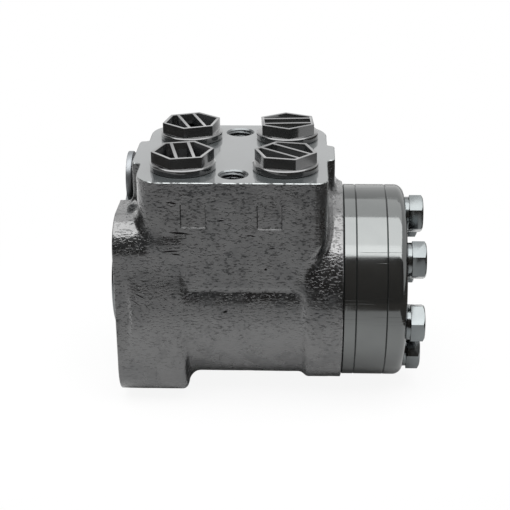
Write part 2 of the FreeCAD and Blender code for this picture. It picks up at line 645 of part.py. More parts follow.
def front_end():
    retainer = turned_part("seal_retainer_turned", [
        ("-retainer_proud", "nose_rad + seal_gap"),
        ("-retainer_proud + retainer_lip", "nose_rad + seal_gap"),
        ("-retainer_proud + retainer_lip", "retainer_hole_rad"),
        ("retainer_seat", "retainer_hole_rad"),
        ("retainer_seat", "retainer_seat_rad"),
        ("0", "retainer_seat_rad"),
        ("0", "retainer_rad"),
        ("-retainer_proud + edge_bevel", "retainer_rad"),
        ("-retainer_proud", "retainer_rad - edge_bevel")])
    finished(retainer, "seal_retainer")
    lip = "(retainer_lip - retainer_proud + fit_play)"
    dust = turned_part("dust_seal_turned", [
        (lip, "retainer_hole_rad - fit_play"), (lip, "nose_rad + seal_gap"),
        (f"{lip} + dust_lip", "nose_rad + seal_gap"),
        (f"{lip} + 2 * dust_lip", "nose_rad + seal_gap + dust_hollow"),
        (f"{lip} + dust_long", "nose_rad + seal_gap + dust_hollow"),
        (f"{lip} + dust_long", "retainer_hole_rad - fit_play")])
    finished(dust, "dust_seal")
    start = "(retainer_seat + fit_play)"
    end = "(seal_back - fit_play)"
    seal = turned_part("shaft_seal_turned", [
        (start, "nose_rad + seal_gap + 2 * seal_hollow"), (start, "seal_rad"), (end, "seal_rad"),
        (end, "nose_rad + seal_gap + seal_hollow"), (f"{end} - seal_lip", "nose_rad + seal_gap"),
        (f"{end} - 2 * seal_lip", "nose_rad + seal_gap + 2 * seal_hollow")])
    finished(seal, "shaft_seal")
    finished(ring("race_front", BEARING, "race_thick", "race_bore_rad", "race_rad"), "thrust_race_front")
    finished(ring("race_rear", SECOND_RACE, "race_thick", "race_bore_rad", "race_rad"), "thrust_race_rear")
    middle = "(race_bore_rad + race_rad) / 2"
    mid_plane = f"{NEEDLES} + needle_play + needle_rad"
    needles = []
    pockets = []
    total = int(value("needle_count"))
    for index in range(total):
        angle = 360.0 / total * index
        for kind, store, rad, long in (
                ("needle", needles, "needle_rad", "needle_long"),
                ("pocket", pockets, "needle_rad + needle_play", "needle_long + 2 * needle_play")):
            start = f"({middle} - ({long}) / 2)"
            piece = doc.addObject("Part::Cylinder", f"{kind}_{index}")
            piece.Placement = FreeCAD.Placement(
                FreeCAD.Vector(), turn_about((1, 0, 0), angle).multiply(turn_about((1, 0, 0), -90)))
            tie(piece, "Radius", rad)
            tie(piece, "Height", long)
            tie_place(piece, (mid_plane, f"{start} * cos({angle})", f"{start} * sin({angle})"))
            store.append(piece)
    cage = ring("cage_ring", f"{mid_plane} - cage_thick / 2", "cage_thick",
                "race_bore_rad + cage_inset", "race_rad - cage_inset")
    finished(cut("needle_cage_pierced", cage, pockets), "needle_cage")
    finished(group("needle_set", needles), "thrust_needles")


# Rotary valve: sleeve, spool, cross pin and centring springs

def oil_rows():
    """Rows of oil holes along the sleeve, front to rear."""
    total = int(value("oil_rows"))
    return [f"(port_centre + port_pitch_long / 2 - {total - 1 - index} * oil_row_pitch)" for index in range(total)]


def sleeve():
    inside = "spool_rad + spool_play"
    low = "spring_place - spring_wide / 2 - over"
    high = "spring_place + spring_wide / 2 + over"
    ring_seat = f"{SLEEVE_RAD} - spring_ring_thick - 2 * fit_play"
    outline = [(VALVE_START, inside), (VALVE_START, SLEEVE_RAD), (low, SLEEVE_RAD), (low, ring_seat),
               (high, ring_seat), (high, SLEEVE_RAD)]
    rows = oil_rows()
    for centre in rows:
        floor = f"{SLEEVE_RAD} - oil_groove_deep"
        outline += [(f"{centre} - oil_groove_wide / 2", SLEEVE_RAD), (f"{centre} - oil_groove_wide / 2", floor),
                    (f"{centre} + oil_groove_wide / 2", floor), (f"{centre} + oil_groove_wide / 2", SLEEVE_RAD)]
    outline += [(VALVE_END, SLEEVE_RAD), (VALVE_END, inside)]
    body = turned_part("sleeve_turned", outline)
    pack = "spring_leaf * spring_leaves + 2 * spring_slot_play"
    tools = [
        rod("sleeve_pin_hole", ("pin_place", "-bore_rad", "0"), "2 * bore_rad", "pin_rad + fit_play", "Y"),
        block("sleeve_spring_slot", ("spring_place - spring_wide / 2 - fit_play", f"-({pack}) / 2", "-bore_rad"),
              ("spring_wide + 2 * fit_play", pack, "2 * bore_rad")),
    ]
    total = int(value("oil_holes"))
    for row, centre in enumerate(rows):
        for index in range(total):
            angle = 360.0 / total * (index + 0.5 * (row % 2))
            drill = doc.addObject("Part::Cylinder", f"oil_hole_{row}_{index}")
            drill.Placement = FreeCAD.Placement(
                FreeCAD.Vector(), turn_about((1, 0, 0), angle).multiply(turn_about((1, 0, 0), -90)))
            tie(drill, "Radius", "oil_hole_rad")
            tie(drill, "Height", "bore_rad - spool_rad + over")
            tie_place(drill, (centre, f"(spool_rad - over) * cos({angle})", f"(spool_rad - over) * sin({angle})"))
            tools.append(drill)
    finished(cut("sleeve_drilled", body, tools), "sleeve")


def spline_star(start, long, tip, foot, count, tip_share, foot_share):
    """Star of trapezoidal teeth about the shaft axis, as a solid. The shares are those of the tooth pitch."""
    step = 2.0 * math.pi / count
    corners = []
    for index in range(count):
        middle = math.pi / 2.0 + step * index
        for rad, share in ((foot, -foot_share), (tip, -tip_share), (tip, tip_share), (foot, foot_share)):
            angle = middle + share * step / 2.0
            corners.append(FreeCAD.Vector(start, rad * math.cos(angle), rad * math.sin(angle)))
    corners.append(corners[0])
    return Part.Face(Part.makePolygon(corners)).extrude(FreeCAD.Vector(long, 0, 0))


def spline_gaps(start, long, root, core, count):
    """Cutter for the splines of a socket, from just inside its core radius out to their roots."""
    return spline_star(start, long, value(root), value(f"{core} - spline_play / 2"), int(value(count)),
                       value("socket_tip_share"), value("socket_foot_share"))


def spool():
    low = "spring_place - spring_wide / 2 - spring_slot_play"
    body = turned_part("spool_turned", [
        ("nose_front", "input_bore_rad"), ("nose_front", "nose_rad - edge_bevel"),
        ("nose_front + edge_bevel", "nose_rad"), (VALVE_START, "nose_rad"), (VALVE_START, "spool_rad"),
        (VALVE_END, "spool_rad"), (VALVE_END, "link_bore_rad"), ("link_bore_front", "link_bore_rad"),
        ("link_bore_front - link_taper", "0"), ("input_deep + input_wall", "0"), ("input_deep", "input_core_rad"),
        ("nose_front + input_lead", "input_core_rad"), ("nose_front + input_lead", "input_bore_rad")])
    swing = "(spool_rad * sin(spool_swing))"
    slot = f"(spring_leaf * spring_leaves + 2 * {swing} + 2 * spring_slot_play)"
    tools = [
        rod("spool_pin_hole", ("pin_place", "-bore_rad", "0"), "2 * bore_rad",
            f"pin_rad + {swing} + spring_slot_play", "Y"),
        block("spool_spring_slot", (low, f"-{slot} / 2", "-bore_rad"),
              ("spring_wide + 2 * spring_slot_play", slot, "2 * bore_rad")),
    ]
    teeth = doc.addObject("Part::Feature", "input_splines")
    teeth.Shape = spline_gaps(value("nose_front + input_lead - over"),
                              value("input_deep - nose_front - input_lead + over"),
                              "input_spline_rad", "input_core_rad", "input_teeth")
    tools.append(teeth)
    total = int(value("spool_grooves"))
    first_row = f"({oil_rows()[0]} - oil_row_pitch / 2)"
    for index in range(total):
        angle = 360.0 / total * (index + 0.5)
        groove = doc.addObject("Part::Box", f"spool_groove_{index}")
        groove.Placement = FreeCAD.Placement(FreeCAD.Vector(), turn_about((1, 0, 0), angle))
        tie(groove, "Length", "oil_row_pitch * oil_rows")
        tie(groove, "Width", "spool_groove_deep + over")
        tie(groove, "Height", "spool_groove_wide")
        bottom = "(spool_rad - spool_groove_deep)"
        half = "(spool_groove_wide / 2)"
        tie_place(groove, (first_row, f"{bottom} * cos({angle}) + {half} * sin({angle})",
                           f"{bottom} * sin({angle}) - {half} * cos({angle})"))
        tools.append(groove)
    finished(cut("spool_milled", body, tools), "spool")


def valve_small_parts():
    long = f"sqrt({SLEEVE_RAD} ^ 2 - pin_rad ^ 2)"
    finished(rod("pin_rod", ("pin_place", f"-{long}", "0"), f"2 * {long}", "pin_rad", "Y"), "cross_pin")
    ring_out = f"({SLEEVE_RAD} - fit_play)"
    ring_in = f"({ring_out} - spring_ring_thick)"
    finished(ring("spring_ring_turned", "spring_place - spring_wide / 2", "spring_wide", ring_in, ring_out),
             "spring_ring")
    reach = f"({ring_in} - spring_leaf)"
    total = int(value("spring_leaves"))
    leaves = [block(f"leaf_{index}", ("spring_place - spring_wide / 2",
                                      f"({index} - spring_leaves / 2) * spring_leaf", f"-{reach}"),
                    ("spring_wide", "spring_leaf", f"2 * {reach}")) for index in range(total)]
    finished(group("leaf_pack", leaves), "centring_springs")


# Gear set

def rotor_outline():
    """Closed outline of the rotor in short arcs: the inner offset of the path that a lobe centre takes
    round the rotor, path(t) = C exp(it) + e exp(iNt), by the lobe radius and the running play."""
    count = int(value("lobes"))
    circle = value("lobe_circle")
    shift = value("orbit_rad")
    inset = value("lobe_rad + gear_play")

    def spot(t):
        across = circle * math.cos(t) + shift * math.cos(count * t)
        up = circle * math.sin(t) + shift * math.sin(count * t)
        slope_across = -circle * math.sin(t) - count * shift * math.sin(count * t)
        slope_up = circle * math.cos(t) + count * shift * math.cos(count * t)
        length = math.hypot(slope_across, slope_up)
        return FreeCAD.Vector(0, across - inset * slope_up / length, up + inset * slope_across / length)

    arcs = int(value("rotor_arcs"))
    step = 2.0 * math.pi / arcs
    return Part.Wire([Part.Arc(*(spot(step * (index + share)) for share in (0.0, 0.5, 1.0))).toShape()
                      for index in range(arcs)])


def rotor():
    wide = value("gear_wide - 2 * face_play")
    blank = Part.Face(rotor_outline()).extrude(FreeCAD.Vector(wide, 0, 0))
    over = value("over")
    hole = Part.makeCylinder(value("rotor_core_rad"), wide + 2 * over, FreeCAD.Vector(-over, 0, 0),
                             FreeCAD.Vector(1, 0, 0))
    teeth = spline_gaps(-over, wide + 2 * over, "rotor_root_rad", "rotor_core_rad", "rotor_teeth")
    part = doc.addObject("Part::Feature", "rotor_profiled")
    part.Shape = blank.cut(hole.fuse(teeth))
    tie_place(part, (f"{GEARS} + face_play", "0", ROTOR_HIGH))
    finished(part, "rotor")


def gear_ring():
    pocket = "(lobe_circle - lobe_rad + 2 * orbit_rad + pocket_play)"
    blank = turned_part("gear_ring_blank", [
        (GEARS, pocket), (GEARS, "gear_rad - edge_bevel / 2"), (f"{GEARS} + edge_bevel / 2", "gear_rad"),
        (f"{COVER} - edge_bevel / 2", "gear_rad"), (COVER, "gear_rad - edge_bevel / 2"), (COVER, pocket)])
    lobes = [rod(f"lobe_{index}", (GEARS, across, up), "gear_wide", "lobe_rad")
             for index, (across, up) in enumerate(round_places("lobes", "lobe_circle"))]
    holes = bolt_holes("gear_ring", GEARS, "gear_wide")
    finished(cut("gear_ring_drilled", fuse("gear_ring_lobed", [blank] + lobes), holes), "gear_ring")


def bolt_holes(name, start, long):
    return [rod(f"{name}_bolt_hole_{index}", (f"{start} - over", across, up), f"{long} + 2 * over",
                "bolt_rad + bolt_play")
            for index, (across, up) in enumerate(BOLTS)]


def oring_groove(name, start):
    return ring(name, start, "oring_groove_deep", f"{ORING_CIRCLE} - oring_groove_wide / 2",
                f"{ORING_CIRCLE} + oring_groove_wide / 2")


def spacer_plate():
    blank = turned_part("plate_blank", [
        (PLATE, "plate_hole_rad"), (PLATE, "gear_rad - edge_bevel"), (f"{PLATE} + edge_bevel", "gear_rad"),
        (f"{GEARS} - edge_bevel / 2", "gear_rad"), (GEARS, "gear_rad - edge_bevel / 2"), (GEARS, "plate_hole_rad")])
    holes = bolt_holes("plate", PLATE, "plate_thick")
    for index, (across, up) in enumerate(round_places("lobes", "feed_circle", 90.0 + 180.0 / value("lobes"))):
        holes.append(rod(f"plate_feed_{index}", (f"{PLATE} - over", across, up), "plate_thick + 2 * over",
                         "feed_hole_rad"))
    holes.append(oring_groove("plate_groove", f"{GEARS} - oring_groove_deep"))
    finished(cut("plate_drilled", blank, holes), "spacer_plate")


def end_cover():
    blank = turned_part("cover_blank", [
        (COVER, "0"), (COVER, "gear_rad - edge_bevel / 2"), (f"{COVER} + edge_bevel / 2", "gear_rad"),
        (f"{OUTSIDE} - cover_round", "gear_rad"),
        (OUTSIDE, "gear_rad - cover_round", "cover_round", f"{OUTSIDE} - cover_round", "gear_rad - cover_round"),
        (OUTSIDE, "0")])
    holes = bolt_holes("cover", COVER, "cover_thick")
    holes.append(oring_groove("cover_groove", COVER))
    finished(cut("cover_drilled", blank, holes), "end_cover")


def orings():
    """O-rings as squeezed between the faces: the section is flat where it is held."""
    sides = int(value("oring_sides"))
    half = 180.0 / sides
    for label, middle in (("oring_housing", f"{PLATE} - oring_groove_deep / 2"),
                          ("oring_plate", f"{GEARS} - oring_groove_deep / 2"),
                          ("oring_cover", f"{COVER} + oring_groove_deep / 2")):
        corners = [half * (2 * index + 1) for index in range(sides)]
        finished(turned_part(label + "_ring", [
            (f"{middle} + oring_rad * cos({angle}) / cos({half})",
             f"{ORING_CIRCLE} + oring_rad * sin({angle}) / cos({half})") for angle in corners]), label)


def rotor_spacer():
    finished(rod("spacer_disc", (f"{COVER} - spacer_thick - face_play", "0", ROTOR_HIGH), "spacer_thick",
                 "rotor_core_rad - pocket_play"), "rotor_spacer")


# Drive link

def drive_link():
    """Fork on the cross pin at the front, splined head in the rotor at the rear. The link leans, because
    the rotor sits off the axis, and is modelled straight and then tipped about the cross pin."""
    head_start = "(housing_long + plate_thick + head_gap)"
    head_end = f"({COVER} - spacer_thick - head_gap / 2)"
    body = turned_part("link_turned", [
        ("fork_front", "0"), ("fork_front", "fork_rad - edge_bevel"), ("fork_front + edge_bevel", "fork_rad"),
        ("fork_back", "fork_rad"), ("fork_back + link_taper", "link_rad"),
        (f"{head_start} - link_taper", "link_rad"), (head_start, "head_core_rad"),
        (head_end, "head_core_rad"), (head_end, "0")])
    reach = "(fork_rad + over)"
    slot = block("link_slot", ("fork_front - over", f"-{reach}", "-pin_rad - fork_play"),
                 ("pin_place - fork_front + over", f"2 * {reach}", "2 * (pin_rad + fork_play)"))
    slot_end = rod("link_slot_end", ("pin_place", f"-{reach}", "0"), f"2 * {reach}", "pin_rad + fork_play", "Y")
    start = value(head_start)
    long = value(f"{head_end} - {head_start}")
    tip = value("rotor_root_rad - spline_play")
    star = spline_star(start, long, tip, value("head_core_rad - spline_play / 2"), int(value("rotor_teeth")),
                       value("link_tip_share"), value("link_foot_share"))
    teeth = doc.addObject("Part::Feature", "link_teeth")
    teeth.Shape = star.common(barrel_shape(start, long, tip, value("head_crown_rad")))
    link = fuse("link_forged", [cut("link_forked", body, [slot, slot_end]), teeth])
    doc.recompute()
    arm = value(f"{GEARS} + gear_wide / 2 - pin_place")
    lean = math.degrees(math.atan2(value("orbit_rad"), arm))
    link.Placement = FreeCAD.Placement(FreeCAD.Vector(), turn_about((0, 1, 0), -lean),
                                       FreeCAD.Vector(value("pin_place"), 0, 0))
    finished(link, "drive_link")


def barrel_shape(start, long, rad, crown_rad):
    """Barrel that rounds the teeth of the link head towards both ends."""
    middle = start + long / 2.0
    sag = crown_rad - math.sqrt(crown_rad ** 2 - (long / 2.0) ** 2)
    first = FreeCAD.Vector(start, 0, rad - sag)
    last = FreeCAD.Vector(start + long, 0, rad - sag)
    arc = Part.Arc(first, FreeCAD.Vector(middle, 0, rad), last).toShape()
    floor_start = FreeCAD.Vector(start, 0, 0)
    floor_end = FreeCAD.Vector(start + long, 0, 0)
    wire = Part.Wire([Part.LineSegment(floor_start, first).toShape(), arc,
                      Part.LineSegment(last, floor_end).toShape(),
                      Part.LineSegment(floor_end, floor_start).toShape()])
    return Part.Face(wire).revolve(FreeCAD.Vector(), FreeCAD.Vector(1, 0, 0), 360)


# Cover bolts and washers

def cover_bolts():
    bolts = []
    washers = []
    for index, (across, up) in enumerate(BOLTS):
        corner = "head_flats / 2 / cos(30)"
        head = prism(f"bolt_head_{index}", (HEADS, across, up), "head_tall", corner, "X", HEAD_TURNS[index % len(HEAD_TURNS)])
        crown = bevel_cone(f"bolt_crown_{index}", (HEADS, across, up), "head_tall",
                           f"{corner} + (head_tall - head_bevel) / tan(30)",
                           f"{corner} - head_bevel / tan(30)")
        shaped = common(f"bolt_crowned_{index}", [head, crown])
        shank = rod(f"bolt_shank_{index}", ("housing_long - bolt_engage", across, up),
                    f"{HEADS} - housing_long + bolt_engage + head_bevel", "bolt_rad")
        bolts.append(fuse(f"bolt_{index}", [shaped, shank]))
        disc = rod(f"washer_disc_{index}", (OUTSIDE, across, up), "washer_thick", "washer_rad")
        hole = rod(f"washer_hole_{index}", (f"{OUTSIDE} - over", across, up), "washer_thick + 2 * over",
                   "bolt_rad + bolt_play")
        washers.append(cut(f"washer_{index}", disc, [hole]))
    finished(group("bolt_set", bolts), "cover_bolts")
    finished(group("washer_set", washers), "bolt_washers")


# Relief valve behind the front plug, and check valve under port P

def relief_valve():
    under = f"({PAD_FACE} - valve_seal_thick)"
    head = rod("valve_plug_head", (f"{under} - valve_plug_thick", "0", "valve_high"), "valve_plug_thick",
               "valve_plug_rad")
    thread = rod("valve_plug_thread", (under, "0", "valve_high"), "valve_seal_thick + valve_thread_long",
                 "valve_thread_rad")
    socket = prism("valve_plug_socket", (f"{under} - valve_plug_thick - over", "0", "valve_high"),
                   "valve_socket_deep + over", "valve_socket_rad")
    finished(cut("valve_plug_cut", fuse("valve_plug_solid", [head, thread]), [socket]), "relief_valve_plug")
    seal = rod("valve_seal_disc", (under, "0", "valve_high"), "valve_seal_thick", "valve_seal_rad")
    seal_hole = rod("valve_seal_hole", (f"{under} - over", "0", "valve_high"), "valve_seal_thick + 2 * over",
                    "valve_thread_rad + thread_play")
    finished(cut("valve_seal_ring", seal, [seal_hole]), "relief_plug_seal")
    screw_start = f"({PAD_FACE} + valve_thread_long + valve_screw_gap)"
    screw = rod("valve_screw_body", (screw_start, "0", "valve_high"), "valve_screw_long",
                "valve_bore_rad - thread_play")
    screw_socket = prism("valve_screw_socket", (f"{screw_start} - over", "0", "valve_high"),
                         "valve_screw_long / 2 + over", "valve_socket_rad / 2")
    finished(cut("valve_screw_cut", screw, [screw_socket]), "relief_setting_screw")
    cone = bevel_cone("poppet_cone", ("valve_bore_end - fit_play - poppet_taper", "0", "valve_high"),
                      "poppet_taper", "valve_bore_rad - poppet_play", "valve_seat_rad - poppet_play")
    skirt = rod("poppet_skirt", ("valve_bore_end - fit_play - poppet_long", "0", "valve_high"),
                "poppet_long - poppet_taper", "valve_bore_rad - poppet_play")
    finished(fuse("poppet_turned", [skirt, cone]), "relief_poppet")
    start = value(f"{screw_start} + valve_screw_long + valve_wire_rad + fit_play")
    end = value("valve_bore_end - poppet_long - valve_wire_rad - 2 * fit_play")
    mean = value("valve_spring_rad")
    wire_rad = value("valve_wire_rad")
    path = Part.makeHelix((end - start) / value("valve_spring_turns"), end - start, mean)
    step = 2.0 * math.pi / int(value("valve_wire_sides"))
    section = Part.makePolygon([FreeCAD.Vector(mean + wire_rad * math.cos(step * index), 0,
                                               wire_rad * math.sin(step * index))
                                for index in range(int(value("valve_wire_sides")) + 1)])
    coil = doc.addObject("Part::Feature", "valve_spring_coil")
    coil.Shape = Part.Wire(path.Edges).makePipeShell([section], True, True)
    coil.Placement = FreeCAD.Placement(FreeCAD.Vector(start, 0, value("valve_high")), ALONG["X"])
    finished(coil, "relief_spring")


def check_valve():
    along, across = port_places()["p"]
    flange = rod("check_flange", (along, across, PORT_FLOOR), "check_flange_thick", "port_rad - fit_play", "Z")
    stem = rod("check_stem", (along, across, f"{PORT_FLOOR} - check_stem_long"), "check_stem_long",
               "check_stem_rad", "Z")
    hole = rod("check_hole", (along, across, f"{PORT_FLOOR} - check_stem_long - over"),
               "check_stem_long + check_flange_thick + 2 * over", "check_hole_rad", "Z")
    seat = bevel_cone("check_seat", (along, across, f"{PORT_FLOOR} - check_stem_long"), "check_seat_deep",
                      "check_seat_rad", "check_hole_rad", "Z")
    finished(cut("check_bush_turned", fuse("check_bush_solid", [flange, stem]), [hole, seat]), "check_valve_bush")
    ball = doc.addObject("Part::Sphere", "ball")
    tie(ball, "Radius", "ball_rad")
    tie_place(ball, (along, across, f"{PORT_FLOOR} - check_stem_long - ball_lift - ball_rad + fit_play"))
    finished(ball, "check_ball")


def check_and_write():
    """Stop on a failed object, then write one file per piece."""
    doc.recompute()
    for item in doc.Objects:
        if "Invalid" in item.State or "Error" in item.State:
            raise RuntimeError(f"{item.Label} failed: {item.State}")
    for part in nodes:
        shape = part.Shape
        if shape.isNull() or not shape.isValid() or not shape.Solids:
            raise RuntimeError(f"{part.Label} has no valid solid")
    os.makedirs("parts", exist_ok=True)
    for part in nodes:
        part.Shape.exportStep(f"parts/{part.Label}.step")
        box = part.Shape.BoundBox
        print(f"{part.Label:24s} solids {len(part.Shape.Solids):2d} volume {part.Shape.Volume:10.1f} "
              f"x {box.XMin:7.2f} {box.XMax:7.2f} y {box.YMin:7.2f} {box.YMax:7.2f} "
              f"z {box.ZMin:7.2f} {box.ZMax:7.2f}")


housing()
port_plugs()
front_end()
sleeve()
spool()
valve_small_parts()
rotor()
gear_ring()
spacer_plate()
end_cover()
orings()
rotor_spacer()
drive_link()
cover_bolts()
relief_valve()
check_valve()
check_and_write()
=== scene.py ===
import math

import bmesh
import bpy
import numpy as np
from mathutils import Matrix, Vector


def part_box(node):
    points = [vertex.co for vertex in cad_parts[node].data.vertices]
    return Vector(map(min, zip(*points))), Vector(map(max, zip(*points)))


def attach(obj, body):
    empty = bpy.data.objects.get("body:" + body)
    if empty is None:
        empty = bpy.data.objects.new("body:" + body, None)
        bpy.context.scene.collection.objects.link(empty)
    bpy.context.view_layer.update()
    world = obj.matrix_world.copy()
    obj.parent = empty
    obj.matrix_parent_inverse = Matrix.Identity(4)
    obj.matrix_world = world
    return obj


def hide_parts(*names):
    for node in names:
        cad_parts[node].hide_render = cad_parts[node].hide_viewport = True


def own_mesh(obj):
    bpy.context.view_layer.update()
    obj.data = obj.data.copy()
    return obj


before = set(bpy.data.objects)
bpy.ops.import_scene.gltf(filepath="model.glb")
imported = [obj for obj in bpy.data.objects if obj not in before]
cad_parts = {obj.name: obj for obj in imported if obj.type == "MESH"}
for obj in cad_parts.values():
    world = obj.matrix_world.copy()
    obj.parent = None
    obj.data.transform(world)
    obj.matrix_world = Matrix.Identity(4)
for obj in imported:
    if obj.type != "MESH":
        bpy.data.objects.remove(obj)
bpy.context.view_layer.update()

MM = 0.001
FLOOR_HIGH = -0.044


def box_mm(node):
    """Lowest and highest corners of a node in millimetres, to a hundredth."""
    return [[round(v / MM, 2) for v in corner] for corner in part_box(node)]


def middle_mm(node):
    """Centre of a node's box in millimetres, to a hundredth."""
    return [round((a + b) / 2 / MM, 2) for a, b in zip(*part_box(node))]


# Sizes of the casting in millimetres, in the CAD frame: X towards the gear end, Y away from the camera, Z up
HOUSING_LONG = box_mm("housing")[1][0]
BLOCK_TOP = box_mm("housing")[1][2]
FLANGE_HALF = 41.0
FLANGE_BACK = 29.4
FLANGE_CORNER = 15.0
FLANGE_EDGE = 2.6
BARREL_RAD = 41.9
BARREL_REACH = 40.0
REAR_RAD = 44.0
REAR_START = 80.2
REAR_EDGE = 1.8
BLOCK_FRONT = 10.0
BLOCK_BACK = 89.3
BLOCK_HALF = 40.6
BLOCK_LEDGE = 12.0
TOE_LOW = (REAR_START, 22.0)
TOE_HIGH = (BLOCK_BACK, 30.0)
TOE_BEND = 7.0
TOE_EDGE = 4.0
CORNERS = {"front_near": 11.0, "front_far": 13.0, "rear_near": 5.0, "rear_far": 16.0}
PAD_FACE = 6.1
PAD_BACK = 21.0
PAD_HALF = 15.5
RIB_FACE = 92.6
RIB_HALF = 10.0
PAD_EDGE = 2.0
PAD_LOW = 20.0

# Widths of the cast fillets where two forms melt together. The block's own grows upwards and towards the
# gear end.
FLANGE_FILLET, REAR_FILLET, PAD_FILLET, RIB_FILLET = 5.0, 3.0, 2.0, 2.5
BLOCK_FILLET, FILLET_UP, FILLET_BACK = 0.5, 3.0, 5.0
UP_START, UP_LONG = 24.0, 8.0
BACK_START, BACK_LONG = 76.0, 6.0

# Cast stock that stands past the end faces and the port face before they are machined
STOCK_END, STOCK_TOP = 2.5, 1.6

# Places of the valve, the ports and the holes. The two circles of holes are given by their radii.
VALVE_HIGH = middle_mm("relief_valve_plug")[2]
PORTS = {letter: tuple(middle_mm(f"port_plug_{letter}")[:2]) for letter in "tplr"}
PORT_CENTRE = (PORTS["t"][0] + PORTS["p"][0]) / 2
BRACKET_HOLES = {"near": -29.5, "far": 29.5}
LOBES = 7
BOLT_CIRCLE = 31.4
MOUNT_HOLES = 4
MOUNT_CIRCLE = 41.25

# Bores. Each step is where it ends and its radius, or its first and last radius where it is a cone.
OVER = 3.0
SHAFT_BORE = [(3.0, 23.03), (7.3, 17.03), (HOUSING_LONG + OVER, 19.05)]
VALVE_BORE = [(PAD_FACE, 13.0), (16.1, 7.05), (41.0, 5.0), (PORT_CENTRE, 2.5)]
CHECK_START, CHECK_BORE = 28.6, [(39.2, 4.5), (43.2, 6.03)]
PORT_START, PORT_BORE = 43.2, [(BLOCK_TOP - 1.2, 9.3), (BLOCK_TOP, 9.3, 10.5), (BLOCK_TOP + OVER, 10.5)]
BRACKET_START, BRACKET_BORE = 41.2, [(58.55, 5.75), (BLOCK_TOP, 5.75, 6.35), (BLOCK_TOP + OVER, 6.35)]
TAPPED_START, TAPPED_BORE = 80.1, [(95.4, 4.05), (HOUSING_LONG, 4.05, 4.75), (HOUSING_LONG + OVER, 4.75)]
MOUNT_BORE = [(0.0, 6.1), (1.1, 6.1, 5.0), (20.0, 5.0), (22.0, 5.0, 0.0)]

# Square recesses beside the ports, by their corners along and up, and the tool that presses them in
LETTER_FRAMES = {"letter_frame_front": ((29.2, 39.8), (39.0, 49.4)),
                 "letter_frame_rear": ((60.6, 39.3), (70.3, 49.2))}
FRAME_DEEP, FRAME_OUT, FRAME_SPREAD = 0.85, 1.5, 1.2

# Sand grain: depth and size in millimetres, and how far the pattern is squeezed along each axis
GRAIN = [(0.10, 9.0, (1.0, 1.0, 1.0)), (0.06, 4.5, (1.0, 1.0, 1.0)), (0.07, 2.6, (0.8, 1.0, 1.15))]

# Dents in the casting: place, reach and depth in millimetres
DENTS = [((13.0, -41.0, -9.0), 2.2, 0.35), ((17.0, -41.0, -12.5), 1.7, 0.4),
         ((19.5, -41.0, -15.0), 1.6, 0.35), ((15.0, -41.0, -6.0), 1.5, 0.25),
         ((45.0, -40.6, 33.0), 1.8, 0.2), ((62.0, -40.6, 20.0), 1.6, 0.2),
         ((66.0, -41.5, -8.0), 1.4, 0.3), ((38.0, -40.6, 47.0), 1.4, 0.15),
         ((83.0, -42.0, -14.0), 1.5, 0.3)]

# Marks in the enamel: place, half sizes and turn round the Y axis, in millimetres and degrees
MARKS = [((28.5, -40.6, 37.4), (5.0, 2.0, 0.6), 5.0), ((24.5, -40.6, 29.6), (4.6, 2.0, 0.5), -4.0),
         ((26.8, -40.6, 28.2), (2.2, 2.0, 0.45), 6.0), ((25.5, -40.6, 50.6), (2.6, 2.0, 0.5), 8.0),
         ((63.8, -40.6, 21.6), (0.8, 2.0, 0.7), 0.0), ((11.5, -41.0, 9.4), (3.6, 2.0, 0.5), 28.0),
         ((9.6, -41.0, 6.4), (3.2, 2.0, 0.45), 40.0), ((13.8, -41.0, 5.0), (2.8, 2.0, 0.5), 52.0),
         ((13.6, -41.0, 1.4), (3.4, 2.0, 0.55), 36.0), ((46.8, -41.4, 2.6), (1.3, 2.0, 0.7), -30.0),
         ((57.6, -40.6, 36.4), (2.4, 2.0, 0.45), 4.0), ((45.6, -40.6, 43.0), (1.6, 2.0, 0.5), -6.0),
         ((31.0, -40.6, 54.0), (2.2, 2.0, 0.4), 0.0), ((66.5, -40.6, 31.0), (1.4, 2.0, 0.45), 0.0)]

# The one spot of rust
RUST_SPOT = (15.5, -41.0, -36.5)


# Meshes

def adopt(name, mesh, body, slot=None):
    """An object at the origin for a finished mesh, riding on a body."""
    piece = bpy.data.objects.new(name, mesh)
    bpy.context.scene.collection.objects.link(piece)
    if body:
        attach(piece, body)
    return piece


def new_piece(name, points, faces, body, slot=None):
    """A mesh object from points in millimetres and faces, riding on a body."""
    mesh = bpy.data.meshes.new(name)
    mesh.from_pydata((np.asarray(points, float) * MM).tolist(), [], list(faces))
    return adopt(name, mesh, body, slot)


def smooth(mesh, angle=30.0):
    """Smooth shading, broken where two faces meet at more than the angle."""
    mesh.polygons.foreach_set("use_smooth", np.ones(len(mesh.polygons), bool))
    mesh.set_sharp_from_angle(angle=math.radians(angle))


def fix_normals(piece):
    """Turns all faces of a closed mesh outwards."""
    shape = bmesh.new()
    shape.from_mesh(piece.data)
    bmesh.ops.recalc_face_normals(shape, faces=shape.faces)
    shape.to_mesh(piece.data)
    shape.free()


def apply_modifiers(piece):
    """Applies the piece's modifiers to its mesh and removes them."""
    graph = bpy.context.evaluated_depsgraph_get()
    mesh = bpy.data.meshes.new_from_object(piece.evaluated_get(graph))
    piece.modifiers.clear()
    piece.data = mesh


def carve(piece, tool, operation):
    """Applies a boolean to the piece and removes the tool."""
    change = piece.modifiers.new("carve", "BOOLEAN")
    change.operation = operation
    change.solver = "MANIFOLD"
    change.object = tool
    apply_modifiers(piece)
    bpy.data.objects.remove(tool)


def stepped(start, steps):
    """Outline of a stepped bore along its axis: each step goes on from the last one to its end."""
    outline = [(start, 0.0)]
    for end, *radii in steps:
        for point in ((outline[-1][0], radii[0]), (end, radii[-1])):
            if point != outline[-1]:
                outline.append(point)
    if outline[-1][1] > 0:
        outline.append((outline[-1][0], 0.0))
    return outline


